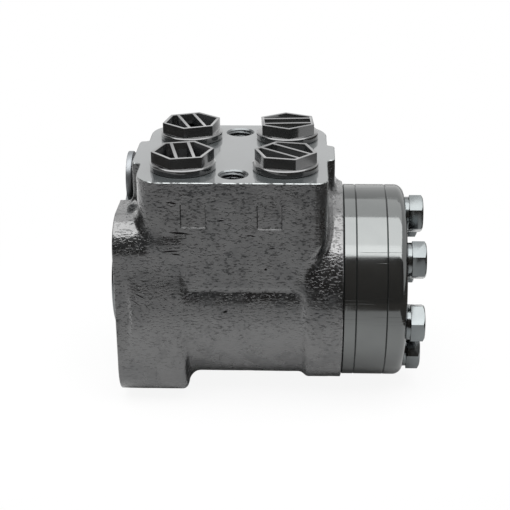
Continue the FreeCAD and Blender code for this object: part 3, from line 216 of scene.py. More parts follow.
def turned(outline, centre, axis="X", steps=96):
    """A closed solid of revolution: each outline point (along, radius) goes round the axis in equal steps.
    An outline starts and ends on the axis, and those two points are single poles."""
    outline = np.asarray(outline, float)
    turn = np.linspace(0, 2 * math.pi, steps, endpoint=False)
    along = np.repeat(outline[1:-1, 0], steps)
    radius = np.repeat(outline[1:-1, 1], steps)
    turns = np.tile(turn, len(outline) - 2)
    if axis == "X":
        rings = np.stack([along, radius * np.cos(turns), radius * np.sin(turns)], 1)
        poles = np.array([[outline[0, 0], 0, 0], [outline[-1, 0], 0, 0]])
    else:
        rings = np.stack([radius * np.cos(turns), radius * np.sin(turns), along], 1)
        poles = np.array([[0, 0, outline[0, 0]], [0, 0, outline[-1, 0]]])
    points = np.vstack([rings, poles]) + np.asarray(centre, float)
    here = np.arange(steps)
    after = (here + 1) % steps
    faces = []
    for row in range(len(outline) - 3):
        low, high = row * steps, (row + 1) * steps
        faces += np.stack([low + here, low + after, high + after, high + here], 1).tolist()
    last = (len(outline) - 3) * steps
    start, end = len(rings), len(rings) + 1
    faces += np.stack([np.full(steps, start), after, here], 1).tolist()
    faces += np.stack([last + here, last + after, np.full(steps, end)], 1).tolist()
    return points, faces


# The casting: forms given as distances to their surfaces, in millimetres, negative inside

def slab(place, low, high):
    """Distance to a plate between two levels."""
    return np.abs(place - (low + high) / 2) - (high - low) / 2


def rounded(first, second, radius):
    """Where both distances are inside, with the outer edge between them rounded to a circle of the radius."""
    outside = np.hypot(np.maximum(first + radius, 0), np.maximum(second + radius, 0))
    return outside + np.minimum(np.maximum(first, second) + radius, 0) - radius


def melted(first, second, width):
    """The nearer of two forms, less a parabola as wide as the cast fillet where they are alike."""
    alike = np.maximum(width - np.abs(first - second), 0) / width
    return np.minimum(first, second) - alike * alike * width / 4


def casting_field(x, y, z):
    """Distance to the unmachined casting: flange, barrel, rear flange, port block, valve pad and rib."""
    flange = rounded(rounded(np.abs(y) - FLANGE_HALF, np.abs(z) - FLANGE_HALF, FLANGE_CORNER),
                     slab(x, -STOCK_END, FLANGE_BACK), FLANGE_EDGE)
    around = np.hypot(y, z)
    barrel = np.maximum(around - BARREL_RAD, np.abs(x - HOUSING_LONG / 2) - BARREL_REACH)
    rear = rounded(around - REAR_RAD, slab(x, REAR_START, HOUSING_LONG + STOCK_END), REAR_EDGE)
    corner = np.where(x < (BLOCK_FRONT + BLOCK_BACK) / 2,
                      np.where(y < 0, CORNERS["front_near"], CORNERS["front_far"]),
                      np.where(y < 0, CORNERS["rear_near"], CORNERS["rear_far"]))
    block = rounded(slab(x, BLOCK_FRONT, BLOCK_BACK), np.abs(y) - BLOCK_HALF, corner)
    run, rise = TOE_HIGH[0] - TOE_LOW[0], TOE_HIGH[1] - TOE_LOW[1]
    lean = ((x - TOE_LOW[0]) * rise - (z - TOE_LOW[1]) * run) / math.hypot(run, rise)
    block = rounded(block, melted(lean, x - TOE_LOW[0], TOE_BEND), TOE_EDGE)
    block = np.maximum(block, BLOCK_LEDGE - z)
    pad = rounded(slab(x, PAD_FACE, PAD_BACK), np.abs(y) - PAD_HALF, PAD_EDGE)
    rib = rounded(slab(x, REAR_START, RIB_FACE), np.abs(y) - RIB_HALF, PAD_EDGE)
    block = melted(block, np.maximum(pad, PAD_LOW - z), PAD_FILLET)
    block = melted(block, np.maximum(rib, PAD_LOW - z), RIB_FILLET)
    fillet = BLOCK_FILLET + np.maximum(FILLET_UP * np.clip((z - UP_START) / UP_LONG, 0, 1),
                                       FILLET_BACK * np.clip((x - BACK_START) / BACK_LONG, 0, 1))
    body = melted(flange, barrel, FLANGE_FILLET)
    body = melted(body, rear, REAR_FILLET)
    body = melted(body, block, fillet)
    return np.maximum(body, z - BLOCK_TOP - STOCK_TOP)


def field_slope(points, reach=0.05):
    """Direction in which the distance grows, from differences over a short reach."""
    slope = np.empty_like(points)
    for axis in range(3):
        offset = np.zeros(3)
        offset[axis] = reach
        slope[:, axis] = casting_field(*(points + offset).T) - casting_field(*(points - offset).T)
    return slope / np.maximum(np.linalg.norm(slope, axis=1), 1e-9)[:, None]


def hashed_noise(points, size, seed):
    """Smooth random heights from 0 to 1: each lattice corner has a hashed number, and the eight round a point
    are mixed by smooth steps."""
    spot = points / size
    base = np.floor(spot).astype(np.int64)
    part = spot - base
    part = part * part * (3 - 2 * part)
    total = np.zeros(len(points))
    for corner in np.ndindex(2, 2, 2):
        cell = base + corner
        number = (cell @ np.array([374761393, 668265263, 1442695041]) + seed * 97531) & 0xFFFFFFFF
        number = ((number ^ (number >> 13)) * 1274126177) & 0xFFFFFFFF
        share = np.prod(np.where(corner, part, 1 - part), 1)
        total += share * ((number ^ (number >> 16)) & 0xFFFF) / 65535
    return total


def skin(values, low, step):
    """Surface nets: a cell that the surface crosses gets one point, the mean of the crossings on its edges,
    and each grid edge that it crosses gets a face of the four cells round it."""
    cells = tuple(count - 1 for count in values.shape)
    place = np.zeros(cells + (3,))
    tally = np.zeros(cells)
    crossed = []
    for axis in range(3):
        line = np.moveaxis(values, axis, 0)
        other = [k for k in range(3) if k != axis]
        crosses = (line[:-1] < 0) != (line[1:] < 0)
        gap = np.where(crosses, line[:-1] - line[1:], 1.0)
        share = np.where(crosses, line[:-1] / gap, 0.0)
        spots, counts = np.moveaxis(place, axis, 0), np.moveaxis(tally, axis, 0)
        for u in (0, 1):
            for v in (0, 1):
                window = (slice(None), slice(u, u + line.shape[1] - 1), slice(v, v + line.shape[2] - 1))
                counts += crosses[window]
                spots[..., axis] += share[window]
                spots[..., other[0]] += u * crosses[window]
                spots[..., other[1]] += v * crosses[window]
        crossed.append(crosses)
    used = tally > 0
    number = np.full(cells, -1)
    number[used] = np.arange(used.sum())
    points = (np.argwhere(used) + place[used] / tally[used][:, None]) * step + low
    faces = []
    for axis, crosses in enumerate(crossed):
        i, j, k = (np.argwhere(crosses[:, 1:-1, 1:-1]) + (0, 1, 1)).T
        ids = np.moveaxis(number, axis, 0)
        ring = np.stack([ids[i, j - 1, k - 1], ids[i, j, k - 1], ids[i, j, k], ids[i, j - 1, k]], 1)
        along = (np.moveaxis(values, axis, 0)[i, j, k] < 0) ^ (axis == 1)
        faces.append(np.where(along[:, None], ring, ring[:, ::-1]))
    return points, np.vstack(faces)


def rough_casting():
    """The unmachined casting: its surface net pulled onto the field, then sunk by sand grain and dents."""
    step, pulls, reach = 0.95, 3, 0.5
    low = np.array([-4.5, -46.0, -46.0])
    high = np.array([101.0, 46.5, 63.0])
    axes = [np.arange(a, b, step) for a, b in zip(low, high)]
    points, faces = skin(casting_field(*np.meshgrid(*axes, indexing="ij")), low, step)
    for _ in range(pulls):
        slope = field_slope(points)
        points -= slope * np.clip(casting_field(*points.T), -reach, reach)[:, None]
    slope = field_slope(points)
    sunk = np.zeros(len(points))
    for seed, (deep, size, squeeze) in enumerate(GRAIN, 1):
        sunk += deep * hashed_noise(points * squeeze, size, seed)
    for place, wide, deep in DENTS:
        away = np.linalg.norm(points - place, axis=1) / wide
        sunk += deep * np.exp(-away ** 2 * 2)
    points -= slope * sunk[:, None]
    return points, faces


def round_places(count, radius, first):
    """Places across and up, evenly round the shaft axis from the first angle in degrees."""
    angles = [math.radians(first + 360 / count * index) for index in range(count)]
    return [(radius * math.cos(angle), radius * math.sin(angle)) for angle in angles]


def bore_tools():
    """Everything that is bored, drilled or faced, as closed turned solids."""
    yield turned(stepped(-OVER, SHAFT_BORE), (0, 0, 0))
    yield turned(stepped(-OVER, VALVE_BORE), (0, 0, VALVE_HIGH))
    for letter, (along, across) in PORTS.items():
        outline = stepped(PORT_START, PORT_BORE)
        if letter == "p":
            outline = stepped(CHECK_START, CHECK_BORE + PORT_BORE)
        yield turned(outline, (along, across, 0), "Z", 72)
    for across in BRACKET_HOLES.values():
        yield turned(stepped(BRACKET_START, BRACKET_BORE), (PORT_CENTRE, across, 0), "Z", 72)
    for across, up in round_places(LOBES, BOLT_CIRCLE, 90):
        yield turned(stepped(TAPPED_START, TAPPED_BORE), (0, across, up), "X", 32)
    for across, up in round_places(MOUNT_HOLES, MOUNT_CIRCLE, 45):
        yield turned(stepped(-OVER, MOUNT_BORE), (0, across, up), "X", 48)


def box_mesh(low, high):
    """The eight corners and six outward faces of a block."""
    points = [(x, y, z) for x in (low[0], high[0]) for y in (low[1], high[1]) for z in (low[2], high[2])]
    return points, [(0, 1, 3, 2), (4, 6, 7, 5), (0, 4, 5, 1), (2, 3, 7, 6), (0, 2, 6, 4), (1, 5, 7, 3)]


def frame_tool(low, high):
    """A block with sloping sides that presses a shallow square into the near wall of the port block."""
    points = []
    for level, grow in ((-BLOCK_HALF - FRAME_OUT, FRAME_SPREAD), (-BLOCK_HALF + FRAME_DEEP, 0.0)):
        points += [(low[0] - grow, level, low[1] - grow), (high[0] + grow, level, low[1] - grow),
                   (high[0] + grow, level, high[1] + grow), (low[0] - grow, level, high[1] + grow)]
    return points, [(0, 1, 2, 3), (7, 6, 5, 4), (0, 4, 5, 1), (1, 5, 6, 2), (2, 6, 7, 3), (3, 7, 4, 0)]


def broken_edges(piece, bevel):
    """Draws in each machined end face by the bevel and lifts it by as much, which leaves a small slope."""
    shape = bmesh.new()
    shape.from_mesh(piece.data)
    for axis, level, side in ((2, BLOCK_TOP - bevel, 1), (0, HOUSING_LONG - bevel, 1), (0, bevel, -1)):
        flat = [face for face in shape.faces if face.normal[axis] * side > 0.99
                and abs(face.calc_center_median()[axis] / MM - level) < 0.01]
        bmesh.ops.inset_region(shape, faces=flat, thickness=bevel * MM, depth=bevel * MM,
                               use_even_offset=False)
    shape.to_mesh(piece.data)
    shape.free()


def housing_casting(finishes):
    """The casting with its machined faces and bores. Its finishes are paint, bored iron, the port face and
    worn paint, and each face gets one by its place."""
    paint, bored, port_face, worn = range(4)
    bevel, stock_wide, skin_deep, near = 0.3, 50, 1.0, 0.02
    piece = new_piece("casting", *rough_casting(), "housing", "painted_casting")
    stock = box_mesh((bevel, -stock_wide, -stock_wide), (HOUSING_LONG - bevel, stock_wide, BLOCK_TOP - bevel))
    carve(piece, new_piece("stock", *stock, None), "INTERSECT")
    broken_edges(piece, bevel)
    for number, tool in enumerate(bore_tools()):
        carve(piece, new_piece(f"cutter_{number}", *tool, None), "DIFFERENCE")
    for name, (low, high) in LETTER_FRAMES.items():
        carve(piece, new_piece(name, *frame_tool(low, high), None), "DIFFERENCE")
    mesh = piece.data
    centre = np.empty(len(mesh.polygons) * 3)
    normal = np.empty(len(mesh.polygons) * 3)
    mesh.polygons.foreach_get("center", centre)
    mesh.polygons.foreach_get("normal", normal)
    x, y, z = centre.reshape(-1, 3).T / MM
    x_way, _, z_way = normal.reshape(-1, 3).T
    finish = np.full(len(x), paint, np.int32)
    finish[casting_field(x, y, z) < -skin_deep] = bored
    finish[(x < near) & (x_way < -0.9)] = bored
    finish[(x > HOUSING_LONG - near) & (x_way > 0.9)] = bored
    finish[(z > BLOCK_TOP - near) & (z_way > 0.9)] = port_face
    finish[(z > BLOCK_TOP - bevel) & (z < BLOCK_TOP - near) & (z_way > 0.2)] = worn
    mesh.materials.clear()
    for material in finishes:
        mesh.materials.append(material)
    mesh.polygons.foreach_set("material_index", finish)
    smooth(mesh, 38)
    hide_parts("housing")


def thread_liner(name, centre, low, high, crest, root, pitch, material):
    """A cut thread: the radius goes from crest to root as a triangle wave along a helix of the pitch."""
    steps, rows_each, wall = 72, 8, root + 0.25
    rows = int((high - low) / pitch * rows_each) + 1
    row, turn = np.meshgrid(np.arange(rows), np.arange(steps), indexing="ij")
    along = low + row / rows_each * pitch
    phase = (row / rows_each - turn / steps) % 1.0
    wave = np.clip(np.abs(phase * 2 - 1) * 1.5 - 0.25, 0, 1)
    radius = crest + (root - crest) * wave
    angle = turn / steps * 2 * math.pi
    inner = np.stack([centre[0] + radius * np.cos(angle), centre[1] + radius * np.sin(angle), along], 2)
    outer = np.stack([centre[0] + wall * np.cos(angle[[0, -1]]), centre[1] + wall * np.sin(angle[[0, -1]]),
                      along[[0, -1]]], 2)
    grid = np.concatenate([inner, outer[::-1]], 0)
    here = np.arange(len(grid) * steps).reshape(len(grid), steps)
    above = np.roll(here, -1, 0)
    faces = np.stack([here, above, np.roll(above, -1, 1), np.roll(here, -1, 1)], 2).reshape(-1, 4)
    piece = new_piece(name, grid.reshape(-1, 3), faces, "housing", "ground_steel")
    fix_normals(piece)
    smooth(piece.data, 50)
    piece.data.materials.append(material)


def eased(node, slot, material, edge=0.0, rounds=2, angle=30.0):
    """A merged copy of a CAD node of the housing with its sharp edges rounded, standing for the node."""
    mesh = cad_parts[node].data.copy()
    mesh.name = node + "_eased"
    mesh.materials.clear()
    shape = bmesh.new()
    shape.from_mesh(mesh)
    bmesh.ops.remove_doubles(shape, verts=shape.verts, dist=0.002 * MM)
    bmesh.ops.dissolve_limit(shape, angle_limit=math.radians(0.6), verts=shape.verts, edges=shape.edges)
    shape.to_mesh(mesh)
    shape.free()
    if mesh.has_custom_normals:
        with bpy.context.temp_override(object=None):
            mesh.normals_split_custom_set([(0, 0, 0)] * len(mesh.loops))
    piece = adopt(node + "_eased", mesh, "housing", slot)
    mesh.materials.append(material)
    if edge:
        round_off = piece.modifiers.new("round_off", "BEVEL")
        round_off.width = edge * MM
        round_off.segments = rounds
        round_off.limit_method = "ANGLE"
        round_off.angle_limit = math.radians(angle)
        round_off.harden_normals = False
        apply_modifiers(piece)
    smooth(piece.data, angle)
    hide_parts(node)


def coil(name, low, high, mean, wire, turns, up, material):
    """A spring along X in the housing: a round wire section carried along a helix, with both ends capped."""
    sides, steps = 12, 40
    count = turns * steps + 1
    turn = np.linspace(0, turns * 2 * math.pi, count)
    radial = np.stack([np.zeros(count), np.cos(turn), np.sin(turn)], 1)
    path = np.array([0, 0, up]) + radial * mean
    path[:, 0] = np.linspace(low, high, count)
    tangent = np.gradient(path, axis=0)
    tangent /= np.linalg.norm(tangent, axis=1)[:, None]
    binormal = np.cross(tangent, radial)
    section = np.linspace(0, 2 * math.pi, sides, endpoint=False)
    points = path[:, None] + wire * (np.cos(section)[None, :, None] * radial[:, None]
                                     + np.sin(section)[None, :, None] * binormal[:, None])
    index = np.arange(count * sides).reshape(count, sides)
    faces = np.stack([index[:-1], np.roll(index[:-1], -1, 1), np.roll(index[1:], -1, 1), index[1:]], 2)
    faces = faces.reshape(-1, 4).tolist() + [index[0].tolist(), index[-1].tolist()]
    piece = new_piece(name, points.reshape(-1, 3), faces, "housing", "spring_steel")
    fix_normals(piece)
    smooth(piece.data, 50)
    piece.data.materials.append(material)
    return piece


# Materials

def linear(code):
    """sRGB hex to linear red, green, blue and full alpha."""
    parts = [int(code[k:k + 2], 16) / 255 for k in (1, 3, 5)]
    return tuple(c / 12.92 if c <= 0.04045 else ((c + 0.055) / 1.055) ** 2.4 for c in parts) + (1.0,)


def per_metre(size_mm):
    """Texture scale for a pattern of that size in millimetres."""
    return 1.0 / (size_mm * MM)


def add(tree, kind, feeds=None, **settings):
    """Adds a shader node: settings are its own, and feeds gives each input a value or the output that
    feeds it."""
    node = tree.nodes.new("ShaderNode" + kind)
    for name, value in settings.items():
        setattr(node, name, value)
    for name, value in (feeds or {}).items():
        if isinstance(value, bpy.types.NodeSocket):
            tree.links.new(value, node.inputs[name])
        else:
            node.inputs[name].default_value = value
    return node


def start_material(name):
    """An empty material, its node tree and its object coordinates."""
    material = bpy.data.materials.new(name)
    material.use_nodes = True
    tree = material.node_tree
    tree.nodes.clear()
    place = add(tree, "TexCoord").outputs["Object"]
    return material, tree, place


def finish_material(tree, shader):
    """Joins the shader to the material's output."""
    add(tree, "OutputMaterial", {"Surface": shader.outputs[0]})


def mark_depths(tree, place):
    """One where a mark is deepest and nought outside all marks: each is an ellipsoid of its half sizes."""
    total = None
    for centre, half, turn in MARKS:
        local = add(tree, "Mapping", {"Vector": place, "Location": [v * MM for v in centre],
                                      "Rotation": (0.0, math.radians(turn), 0.0),
                                      "Scale": [v * MM for v in half]}, vector_type="TEXTURE")
        away = add(tree, "VectorMath", {0: local.outputs[0]}, operation="LENGTH")
        deep = add(tree, "MapRange", {"Value": away.outputs["Value"], "From Min": 0.4, "From Max": 1.0,
                                      "To Min": 1.0, "To Max": 0.0}, interpolation_type="SMOOTHSTEP")
        if total is None:
            total = deep
        else:
            total = add(tree, "Math", {0: total.outputs[0], 1: deep.outputs[0]}, operation="MAXIMUM")
    return total.outputs[0]


def cast_iron_black_enamel():
    """Sand-cast iron sprayed with black enamel: the sand grain shows through as flecks that catch the lamp,
    fewer low down where the enamel lies thicker, with dusty patches, casting marks and one spot of rust."""
    material, tree, place = start_material("cast_iron_black_enamel")
    squeezed = add(tree, "Mapping", {"Vector": place, "Scale": (0.5, 1.0, 1.1)}).outputs[0]
    grain = add(tree, "TexNoise", {"Vector": squeezed, "Scale": per_metre(0.85), "Detail": 2.0,
                                   "Roughness": 0.6})
    peel = add(tree, "TexNoise", {"Vector": squeezed, "Scale": per_metre(2.6), "Detail": 2.0,
                                  "Roughness": 0.5})
    dust = add(tree, "TexNoise", {"Vector": place, "Scale": per_metre(9.0), "Detail": 5.0, "Roughness": 0.6})
    stain = add(tree, "TexNoise", {"Vector": place, "Scale": per_metre(26.0), "Detail": 3.0,
                                   "Roughness": 0.6})
    pits = add(tree, "TexVoronoi", {"Vector": squeezed, "Scale": per_metre(3.0), "Randomness": 1.0})
    pit_deep = add(tree, "MapRange", {"Value": pits.outputs["Distance"], "From Min": 0.06, "From Max": 0.30,
                                      "To Min": 0.0, "To Max": 1.0}, interpolation_type="SMOOTHSTEP")
    few = add(tree, "MapRange", {"Value": dust.outputs[0], "From Min": 0.45, "From Max": 0.60,
                                 "To Min": 0.1, "To Max": 1.0})
    specks = add(tree, "MapRange", {"Value": grain.outputs[0], "From Min": 0.53, "From Max": 0.66,
                                    "To Min": 0.0, "To Max": 1.0}, interpolation_type="SMOOTHSTEP")
    high = add(tree, "SeparateXYZ", {"Vector": place})
    thin = add(tree, "MapRange", {"Value": high.outputs["Z"], "From Min": -34 * MM, "From Max": 6 * MM,
                                  "To Min": 0.35, "To Max": 1.0}, interpolation_type="SMOOTHSTEP")
    specks = add(tree, "Math", {0: specks.outputs[0], 1: thin.outputs[0]}, operation="MULTIPLY")
    marks = mark_depths(tree, place)
    height = add(tree, "Math", {0: grain.outputs[0], 1: -0.5}, operation="MULTIPLY")
    height = add(tree, "Math", {0: specks.outputs[0], 1: -0.55, 2: height.outputs[0]},
                 operation="MULTIPLY_ADD")
    height = add(tree, "Math", {0: peel.outputs[0], 1: 0.55, 2: height.outputs[0]}, operation="MULTIPLY_ADD")
    pit = add(tree, "Math", {0: pit_deep.outputs[0], 1: few.outputs[0]}, operation="MULTIPLY")
    height = add(tree, "Math", {0: pit.outputs[0], 1: 0.4, 2: height.outputs[0]}, operation="MULTIPLY_ADD")
    height = add(tree, "Math", {0: marks, 1: -1.4, 2: height.outputs[0]}, operation="MULTIPLY_ADD")
    bump = add(tree, "Bump", {"Height": height.outputs[0], "Strength": 1.0, "Distance": 0.105 * MM})
    rough = add(tree, "MapRange", {"Value": dust.outputs[0], "From Min": 0.35, "From Max": 0.65,
                                   "To Min": 0.18, "To Max": 0.34})
    film = add(tree, "MapRange", {"Value": dust.outputs[0], "From Min": 0.40, "From Max": 0.62,
                                  "To Min": 1.0, "To Max": 0.78})
    patchy = add(tree, "MapRange", {"Value": dust.outputs[0], "From Min": 0.42, "From Max": 0.60,
                                    "To Min": -0.35, "To Max": -1.0})
    film = add(tree, "Math", {0: specks.outputs[0], 1: patchy.outputs[0], 2: film.outputs[0]},
               operation="MULTIPLY_ADD")
    film = add(tree, "Math", {0: film.outputs[0], 1: marks}, operation="SUBTRACT", use_clamp=True)
    rust_away = add(tree, "VectorMath", {0: place, 1: [v * MM for v in RUST_SPOT]}, operation="DISTANCE")
    rust_near = add(tree, "MapRange", {"Value": rust_away.outputs["Value"], "From Min": 0.5 * MM,
                                       "From Max": 3.4 * MM, "To Min": 1.0, "To Max": 0.0})
    rust_spots = add(tree, "MapRange", {"Value": grain.outputs[0], "From Min": 0.48, "From Max": 0.60,
                                        "To Min": 0.0, "To Max": 0.8})
    rust = add(tree, "Math", {0: rust_near.outputs[0], 1: rust_spots.outputs[0]}, operation="MULTIPLY")
    shade = add(tree, "Math", {0: stain.outputs[0], 1: dust.outputs[0]}, operation="ADD")
    shade = add(tree, "MapRange", {"Value": shade.outputs[0], "From Min": 0.8, "From Max": 1.2})
    paint = add(tree, "Mix", {0: shade.outputs[0], 6: linear("#08090A"), 7: linear("#181A1C")},
                data_type="RGBA")
    dirty = add(tree, "Mix", {0: marks, 6: paint.outputs[2], 7: linear("#0B0B0B")}, data_type="RGBA")
    colour = add(tree, "Mix", {0: rust.outputs[0], 6: dirty.outputs[2], 7: linear("#8A5A41")},
                 data_type="RGBA")
    gloss = add(tree, "MapRange", {"Value": marks, "To Min": 0.5, "To Max": 0.05})
    shader = add(tree, "BsdfPrincipled", {"Base Color": colour.outputs[2], "Roughness": rough.outputs[0],
                                          "Specular IOR Level": gloss.outputs[0], "IOR": 1.55,
                                          "Coat Weight": film.outputs[0], "Coat Roughness": 0.12,
                                          "Coat IOR": 1.85, "Normal": bump.outputs[0],
                                          "Coat Normal": bump.outputs[0]})
    finish_material(tree, shader)
    return material


def milled_port_face():
    """Milled iron under a clear coat: a grey that mirrors the plugs, with fine cutter marks lengthwise."""
    material, tree, place = start_material("milled_iron_thin_coat")
    along = add(tree, "Mapping", {"Vector": place, "Scale": (0.06, 1.0, 1.0)}).outputs[0]
    marks = add(tree, "TexNoise", {"Vector": along, "Scale": per_metre(0.7), "Detail": 2.0, "Roughness": 0.6})
    cloud = add(tree, "TexNoise", {"Vector": place, "Scale": per_metre(16.0), "Detail": 3.0,
                                   "Roughness": 0.6})
    bump = add(tree, "Bump", {"Height": marks.outputs[0], "Strength": 0.4, "Distance": 0.008 * MM})
    rough = add(tree, "MapRange", {"Value": cloud.outputs[0], "From Min": 0.35, "From Max": 0.65,
                                   "To Min": 0.10, "To Max": 0.18})
    colour = add(tree, "Mix", {0: cloud.outputs[0], 6: linear("#4E5253"), 7: linear("#606465")},
                 data_type="RGBA")
    shader = add(tree, "BsdfPrincipled", {"Base Color": colour.outputs[2], "Metallic": 0.3,
                                          "Roughness": rough.outputs[0], "Coat Weight": 1.0, "Coat IOR": 1.65,
                                          "Coat Roughness": 0.1, "Normal": bump.outputs[0]})
    finish_material(tree, shader)
    return material


def worn_paint_edge():
    """Paint rubbed through to bright iron along an edge, in broken patches."""
    material, tree, place = start_material("enamel_worn_to_iron")
    patches = add(tree, "TexNoise", {"Vector": place, "Scale": per_metre(3.0), "Detail": 4.0,
                                     "Roughness": 0.7})
    bare = add(tree, "MapRange", {"Value": patches.outputs[0], "From Min": 0.40, "From Max": 0.52,
                                  "To Min": 0.0, "To Max": 1.0})
    colour = add(tree, "Mix", {0: bare.outputs[0], 6: linear("#2A2C2D"), 7: linear("#8E9191")},
                 data_type="RGBA")
    shader = add(tree, "BsdfPrincipled", {"Base Color": colour.outputs[2], "Metallic": bare.outputs[0],
                                          "Roughness": 0.34})
    finish_material(tree, shader)
    return material


def steel(name, note, dark, pale, rough_low, rough_high, marks_mm, stretch, deep_mm):
    """Bare or plated steel: two close greys in soft clouds, and machining marks stretched along one way."""
    material, tree, place = start_material(name)
    material["finish"] = note
    stretched = add(tree, "Mapping", {"Vector": place, "Scale": stretch}).outputs[0]
    marks = add(tree, "TexNoise", {"Vector": stretched, "Scale": per_metre(marks_mm), "Detail": 2.0,
                                   "Roughness": 0.6})
    cloud = add(tree, "TexNoise", {"Vector": place, "Scale": per_metre(9.0), "Detail": 3.0, "Roughness": 0.6})
    bump = add(tree, "Bump", {"Height": marks.outputs[0], "Strength": 0.6, "Distance": deep_mm * MM})
    rough = add(tree, "MapRange", {"Value": cloud.outputs[0], "From Min": 0.35, "From Max": 0.65,
                                   "To Min": rough_low, "To Max": rough_high})
    colour = add(tree, "Mix", {0: cloud.outputs[0], 6: linear(dark), 7: linear(pale)}, data_type="RGBA")
    shader = add(tree, "BsdfPrincipled", {"Base Color": colour.outputs[2], "Metallic": 1.0,
                                          "Roughness": rough.outputs[0], "Normal": bump.outputs[0]})
    finish_material(tree, shader)
    return material


def turned_black_lacquer():
    """Turned steel under glossy lacquer: a dark mirror with fine rings round the axis and a few scratches."""
    material, tree, place = start_material("turned_steel_black_lacquer")
    across = add(tree, "Mapping", {"Vector": place, "Scale": (1.0, 0.02, 0.02)}).outputs[0]
    rings = add(tree, "TexNoise", {"Vector": across, "Scale": per_metre(0.8), "Detail": 2.0,
                                   "Roughness": 0.5})
    cloud = add(tree, "TexNoise", {"Vector": place, "Scale": per_metre(14.0), "Detail": 3.0,
                                   "Roughness": 0.6})
    tilted = add(tree, "Mapping", {"Vector": place, "Rotation": (0.0, math.radians(38), 0.0),
                                   "Scale": (0.05, 0.6, 1.0)}).outputs[0]
    scratch = add(tree, "TexNoise", {"Vector": tilted, "Scale": per_metre(1.3), "Detail": 1.0})
    scratched = add(tree, "MapRange", {"Value": scratch.outputs[0], "From Min": 0.66, "From Max": 0.70,
                                       "To Min": 0.0, "To Max": 1.0})
    height = add(tree, "Math", {0: scratched.outputs[0], 1: -1.5, 2: rings.outputs[0]},
                 operation="MULTIPLY_ADD")
    bump = add(tree, "Bump", {"Height": height.outputs[0], "Strength": 0.4, "Distance": 0.02 * MM})
    rough = add(tree, "MapRange", {"Value": cloud.outputs[0], "From Min": 0.35, "From Max": 0.65,
                                   "To Min": 0.08, "To Max": 0.14})
    colour = add(tree, "Mix", {0: cloud.outputs[0], 6: linear("#626464"), 7: linear("#6C6E6D")},
                 data_type="RGBA")
    shader = add(tree, "BsdfPrincipled", {"Base Color": colour.outputs[2], "Metallic": 0.93,
                                          "Roughness": rough.outputs[0], "Normal": bump.outputs[0]})
    finish_material(tree, shader)
    return material


def moulded_plug_plastic():
    """Injection-moulded polyethylene, black: a smooth gloss that mould marks ripple slightly."""
    material, tree, place = start_material("moulded_black_polyethylene")
    grain = add(tree, "TexNoise", {"Vector": place, "Scale": per_metre(0.9), "Detail": 3.0,
                                   "Roughness": 0.65})
    cloud = add(tree, "TexNoise", {"Vector": place, "Scale": per_metre(6.0), "Detail": 3.0})
    bump = add(tree, "Bump", {"Height": grain.outputs[0], "Strength": 0.5, "Distance": 0.06 * MM})
    rough = add(tree, "MapRange", {"Value": cloud.outputs[0], "From Min": 0.35, "From Max": 0.65,
                                   "To Min": 0.14, "To Max": 0.26})
    colour = add(tree, "Mix", {0: cloud.outputs[0], 6: linear("#141516"), 7: linear("#1E2021")},
                 data_type="RGBA")
    shader = add(tree, "BsdfPrincipled", {"Base Color": colour.outputs[2], "Roughness": rough.outputs[0],
                                          "IOR": 1.54, "Coat Weight": 1.0, "Coat IOR": 1.8,
                                          "Coat Roughness": 0.08, "Normal": bump.outputs[0]})
    finish_material(tree, shader)
    return material


def moulded_rubber():
    """Nitrile rubber, moulded: matt black with a faint bloom."""
    material, tree, place = start_material("moulded_nitrile_rubber")
    bloom = add(tree, "TexNoise", {"Vector": place, "Scale": per_metre(2.0), "Detail": 3.0})
    bump = add(tree, "Bump", {"Height": bloom.outputs[0], "Strength": 0.5, "Distance": 0.03 * MM})
    colour = add(tree, "Mix", {0: bloom.outputs[0], 6: linear("#17181A"), 7: linear("#24262A")},
                 data_type="RGBA")
    shader = add(tree, "BsdfPrincipled", {"Base Color": colour.outputs[2], "Roughness": 0.62, "IOR": 1.52,
                                          "Normal": bump.outputs[0]})
    finish_material(tree, shader)
    return material


# The stage in metres: floor, dark cloth, lamps, sky and camera

def pale_paper_floor():
    """Pale paper, lit by the lamps. Camera and glass rays see it lifted towards plain white: nine tenths of
    the way round the object, so its shadow stays, and wholly far from it. Behind the object the paper is
    painted paler in a disc, a painted pool of light that the glossy parts mirror."""
    under, painted_light_centre = (0.06, 0.0, FLOOR_HIGH), (0.04, 0.25, FLOOR_HIGH)
    material, tree, place = start_material("pale_paper_floor")
    path = add(tree, "LightPath")
    seen = add(tree, "Math", {0: path.outputs["Is Camera Ray"], 1: path.outputs["Is Transmission Ray"]},
               operation="MAXIMUM")
    away = add(tree, "VectorMath", {0: place, 1: under}, operation="DISTANCE")
    lift = add(tree, "MapRange", {"Value": away.outputs["Value"], "From Min": 0.06, "From Max": 0.26,
                                  "To Min": 0.90, "To Max": 1.0}, interpolation_type="SMOOTHSTEP")
    share = add(tree, "Math", {0: seen.outputs[0], 1: lift.outputs[0]}, operation="MULTIPLY")
    # Painted light: a paler disc of paper behind the object stands for a pool of light, so the glossy parts
    # mirror it
    away = add(tree, "VectorMath", {0: place, 1: painted_light_centre}, operation="DISTANCE")
    painted_light_falloff = add(tree, "MapRange", {"Value": away.outputs["Value"], "From Min": 0.31, "From Max": 0.42},
                  interpolation_type="SMOOTHSTEP")
    paper_with_painted_light = add(tree, "Mix", {0: painted_light_falloff.outputs[0], 6: linear("#E4E4E4"), 7: linear("#BEBEBE")},
               data_type="RGBA")
    paper = add(tree, "BsdfDiffuse", {"Color": paper_with_painted_light.outputs[2]})
    white = add(tree, "Emission", {"Color": (1, 1, 1, 1), "Strength": 1.0})
    lifted = add(tree, "MixShader", {0: share.outputs[0], 1: paper.outputs[0], 2: white.outputs[0]})
    finish_material(tree, lifted)
    return material


def dark_studio_cloth():
    """Dull dark cloth for the mirrors of the enamel and the lacquer."""
    material, tree, _ = start_material("dark_studio_cloth")
    finish_material(tree, add(tree, "BsdfDiffuse", {"Color": linear("#423E3A")}))
    return material


